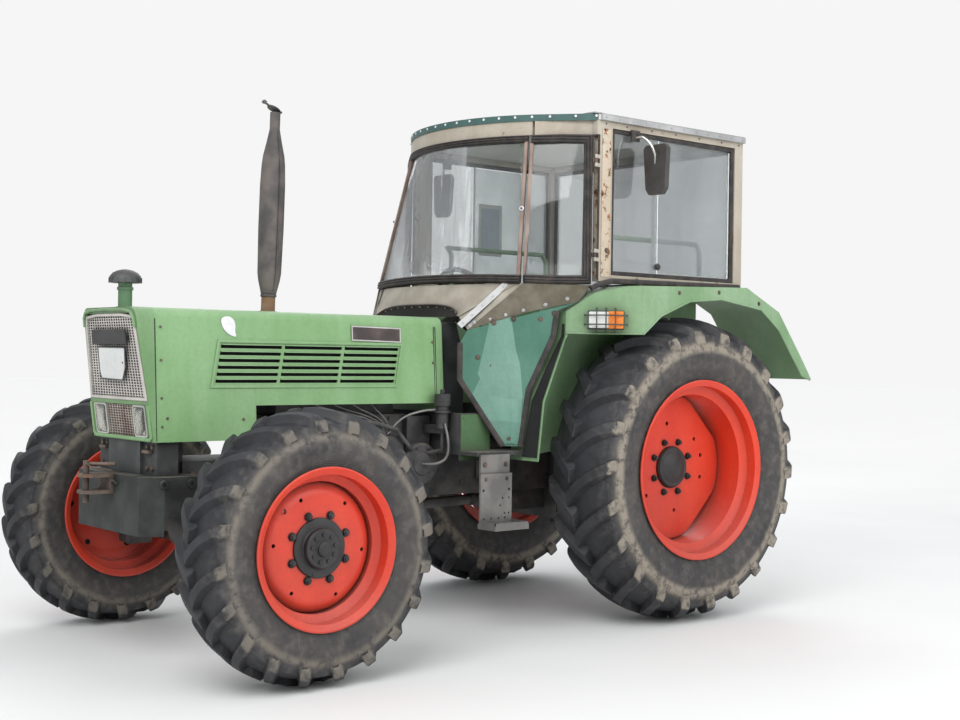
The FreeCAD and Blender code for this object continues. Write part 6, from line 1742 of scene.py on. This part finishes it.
# Mirrors: dark moulded heads that taper downwards on bent bright rods, with silvered panes
dress("mirrors", plastic("mirror_brown", (0.030, 0.024, 0.021), rough=0.45, worn=0.35), 0.009, 3)
silver = Surface("silvered")
silver.finish((0.72, 0.74, 0.75), 0.05 + silver.noise(30.0, 3.0) * 0.05, 1.0)
panes, frets = Form(), Form()
outline = [(0.032, -0.094), (0.046, -0.077), (0.162, -0.077), (0.175, -0.094), (0.166, -0.286),
           (0.147, -0.311), (0.069, -0.311), (0.049, -0.287)]
panes.slab([(0.745 + x, -0.2805, 2.470 + z) for x, z in outline], (0, 0.0022, 0))
frets.sweep([(0.745 + x, -0.2790, 2.470 + z) for x, z in outline],
            [(-0.004, -0.002), (0.004, -0.002), (0.004, 0.0035), (-0.004, 0.0035)], (0, 1, 0), loop=True)
for z in (2.434, 2.458):
    frets.bolt((0.7592, -0.336, z), (1, 0, 0), 0.0055, 0.004)
rods = Form()
rods.tube(smoothed([(0.758, -0.347, 2.44), (0.805, -0.330, 2.44), (0.850, -0.305, 2.37),
                    (0.850, -0.300, 2.30)]), 0.0082, 10)
piece("mirror_panes", panes.mirrored(), silver)
piece("mirror_edges", frets.mirrored(), rubber)
piece("mirror_rods", rods.mirrored(), chrome, smooth=60)


# Side and tail lamps: white and amber lenses ribbed inside dark cases, each side lamp in a bent
# wire guard; the red tail lamps sit on the fenders' rear slopes
lens_white = plastic("lens_white", (0.72, 0.73, 0.70), rough=0.15, worn=0.15)
lens_amber = plastic("lens_amber", (0.80, 0.22, 0.02), rough=0.15, worn=0.10)
lens_red = plastic("lens_red", (0.42, 0.014, 0.012), rough=0.15, worn=0.10)
dress("side_lamps", lens_white, 0.006, 3)
dress("tail_lamps", lens_red, 0.006, 3)


def lamp_box(at, along, out, spans, high):
    """A box on a lamp's own directions: its span along, outwards and across."""
    at, along, out = Vector(at), Vector(along).normalized(), Vector(out).normalized()
    across = along.cross(out)
    (a0, a1), (o0, o1) = spans
    corners = [(a0, o0), (a1, o0), (a1, o1), (a0, o1)]
    return Form().loft([[at + along * a + out * o + across * c for a, o in corners] for c in (-high, high)])


SIDE_LAMP, ALONG_LAMP, LAMP_OUT = (0.800, -0.584, 1.520), (1, 1, 0), (1, -1, 0)
cases, ambers, guards = Form(), Form(), Form()
cases.add(lamp_box(SIDE_LAMP, ALONG_LAMP, LAMP_OUT, ((-0.0885, 0.0885), (0.0005, 0.014)), 0.046))
ambers.add(lamp_box(SIDE_LAMP, ALONG_LAMP, LAMP_OUT, ((0.012, 0.0845), (0.010, 0.0655)), 0.0415))
for k in range(4):
    a = 0.022 + 0.0165 * k
    ambers.add(lamp_box(SIDE_LAMP, ALONG_LAMP, LAMP_OUT, ((a, a + 0.003), (0.060, 0.0668)), 0.036))
along, out = Vector(ALONG_LAMP).normalized(), Vector(LAMP_OUT).normalized()


def guard_at(a, o, z):
    return Vector(SIDE_LAMP) + along * a + out * o + Vector((0, 0, z))


for z in (-0.022, 0.022):
    guards.tube(smoothed([guard_at(-0.104, 0.0, z), guard_at(-0.104, 0.080, z), guard_at(0.104, 0.080, z),
                          guard_at(0.104, 0.0, z)]), 0.0032, 8)
for a in (-0.045, 0.0, 0.045):
    guards.tube(smoothed([guard_at(a, 0.0, 0.058), guard_at(a, 0.083, 0.058), guard_at(a, 0.083, -0.058),
                          guard_at(a, 0.0, -0.058)]), 0.0032, 8)
tail = (0.840, 0.695, 1.4635)
down_slope, off_slope = (0, 0.6327, -0.7744), (0, 0.7744, 0.6327)
cases.add(lamp_box(tail, down_slope, off_slope, ((-0.0645, 0.0645), (0.0005, 0.012)), 0.049))
ambers.add(lamp_box(tail, down_slope, off_slope, ((-0.0615, -0.020), (0.010, 0.0432)), 0.0465))
piece("lamp_cases", cases.mirrored(), console_black, bevel=0.003)
piece("lamp_ambers", ambers.mirrored(), lens_amber, bevel=0.003, steps=3)
piece("lamp_guards", guards.mirrored(), cap_black, smooth=60)


# Rear linkage: forged arms, rods and links under dark paint, with bright bushes at both eyes of
# each lower link
dress("lift_arms lift_rods lower_links", axle_iron, 0.0012)
for side, end in SIDES:
    eye = Form()
    for x, y, z, half in ((0.235, 0.060, 0.450, 0.018), (0.400, 0.930, 0.430, 0.022)):
        for out in (-1, 1):
            face = x + out * half
            eye.collar(face, face + out * 0.0025, 0.0165, 0.030, (0, y, z), "X", 28)
    piece("link_bushes_" + end, Form().add(eye, flip(side)), pipe_steel, "lower_links")
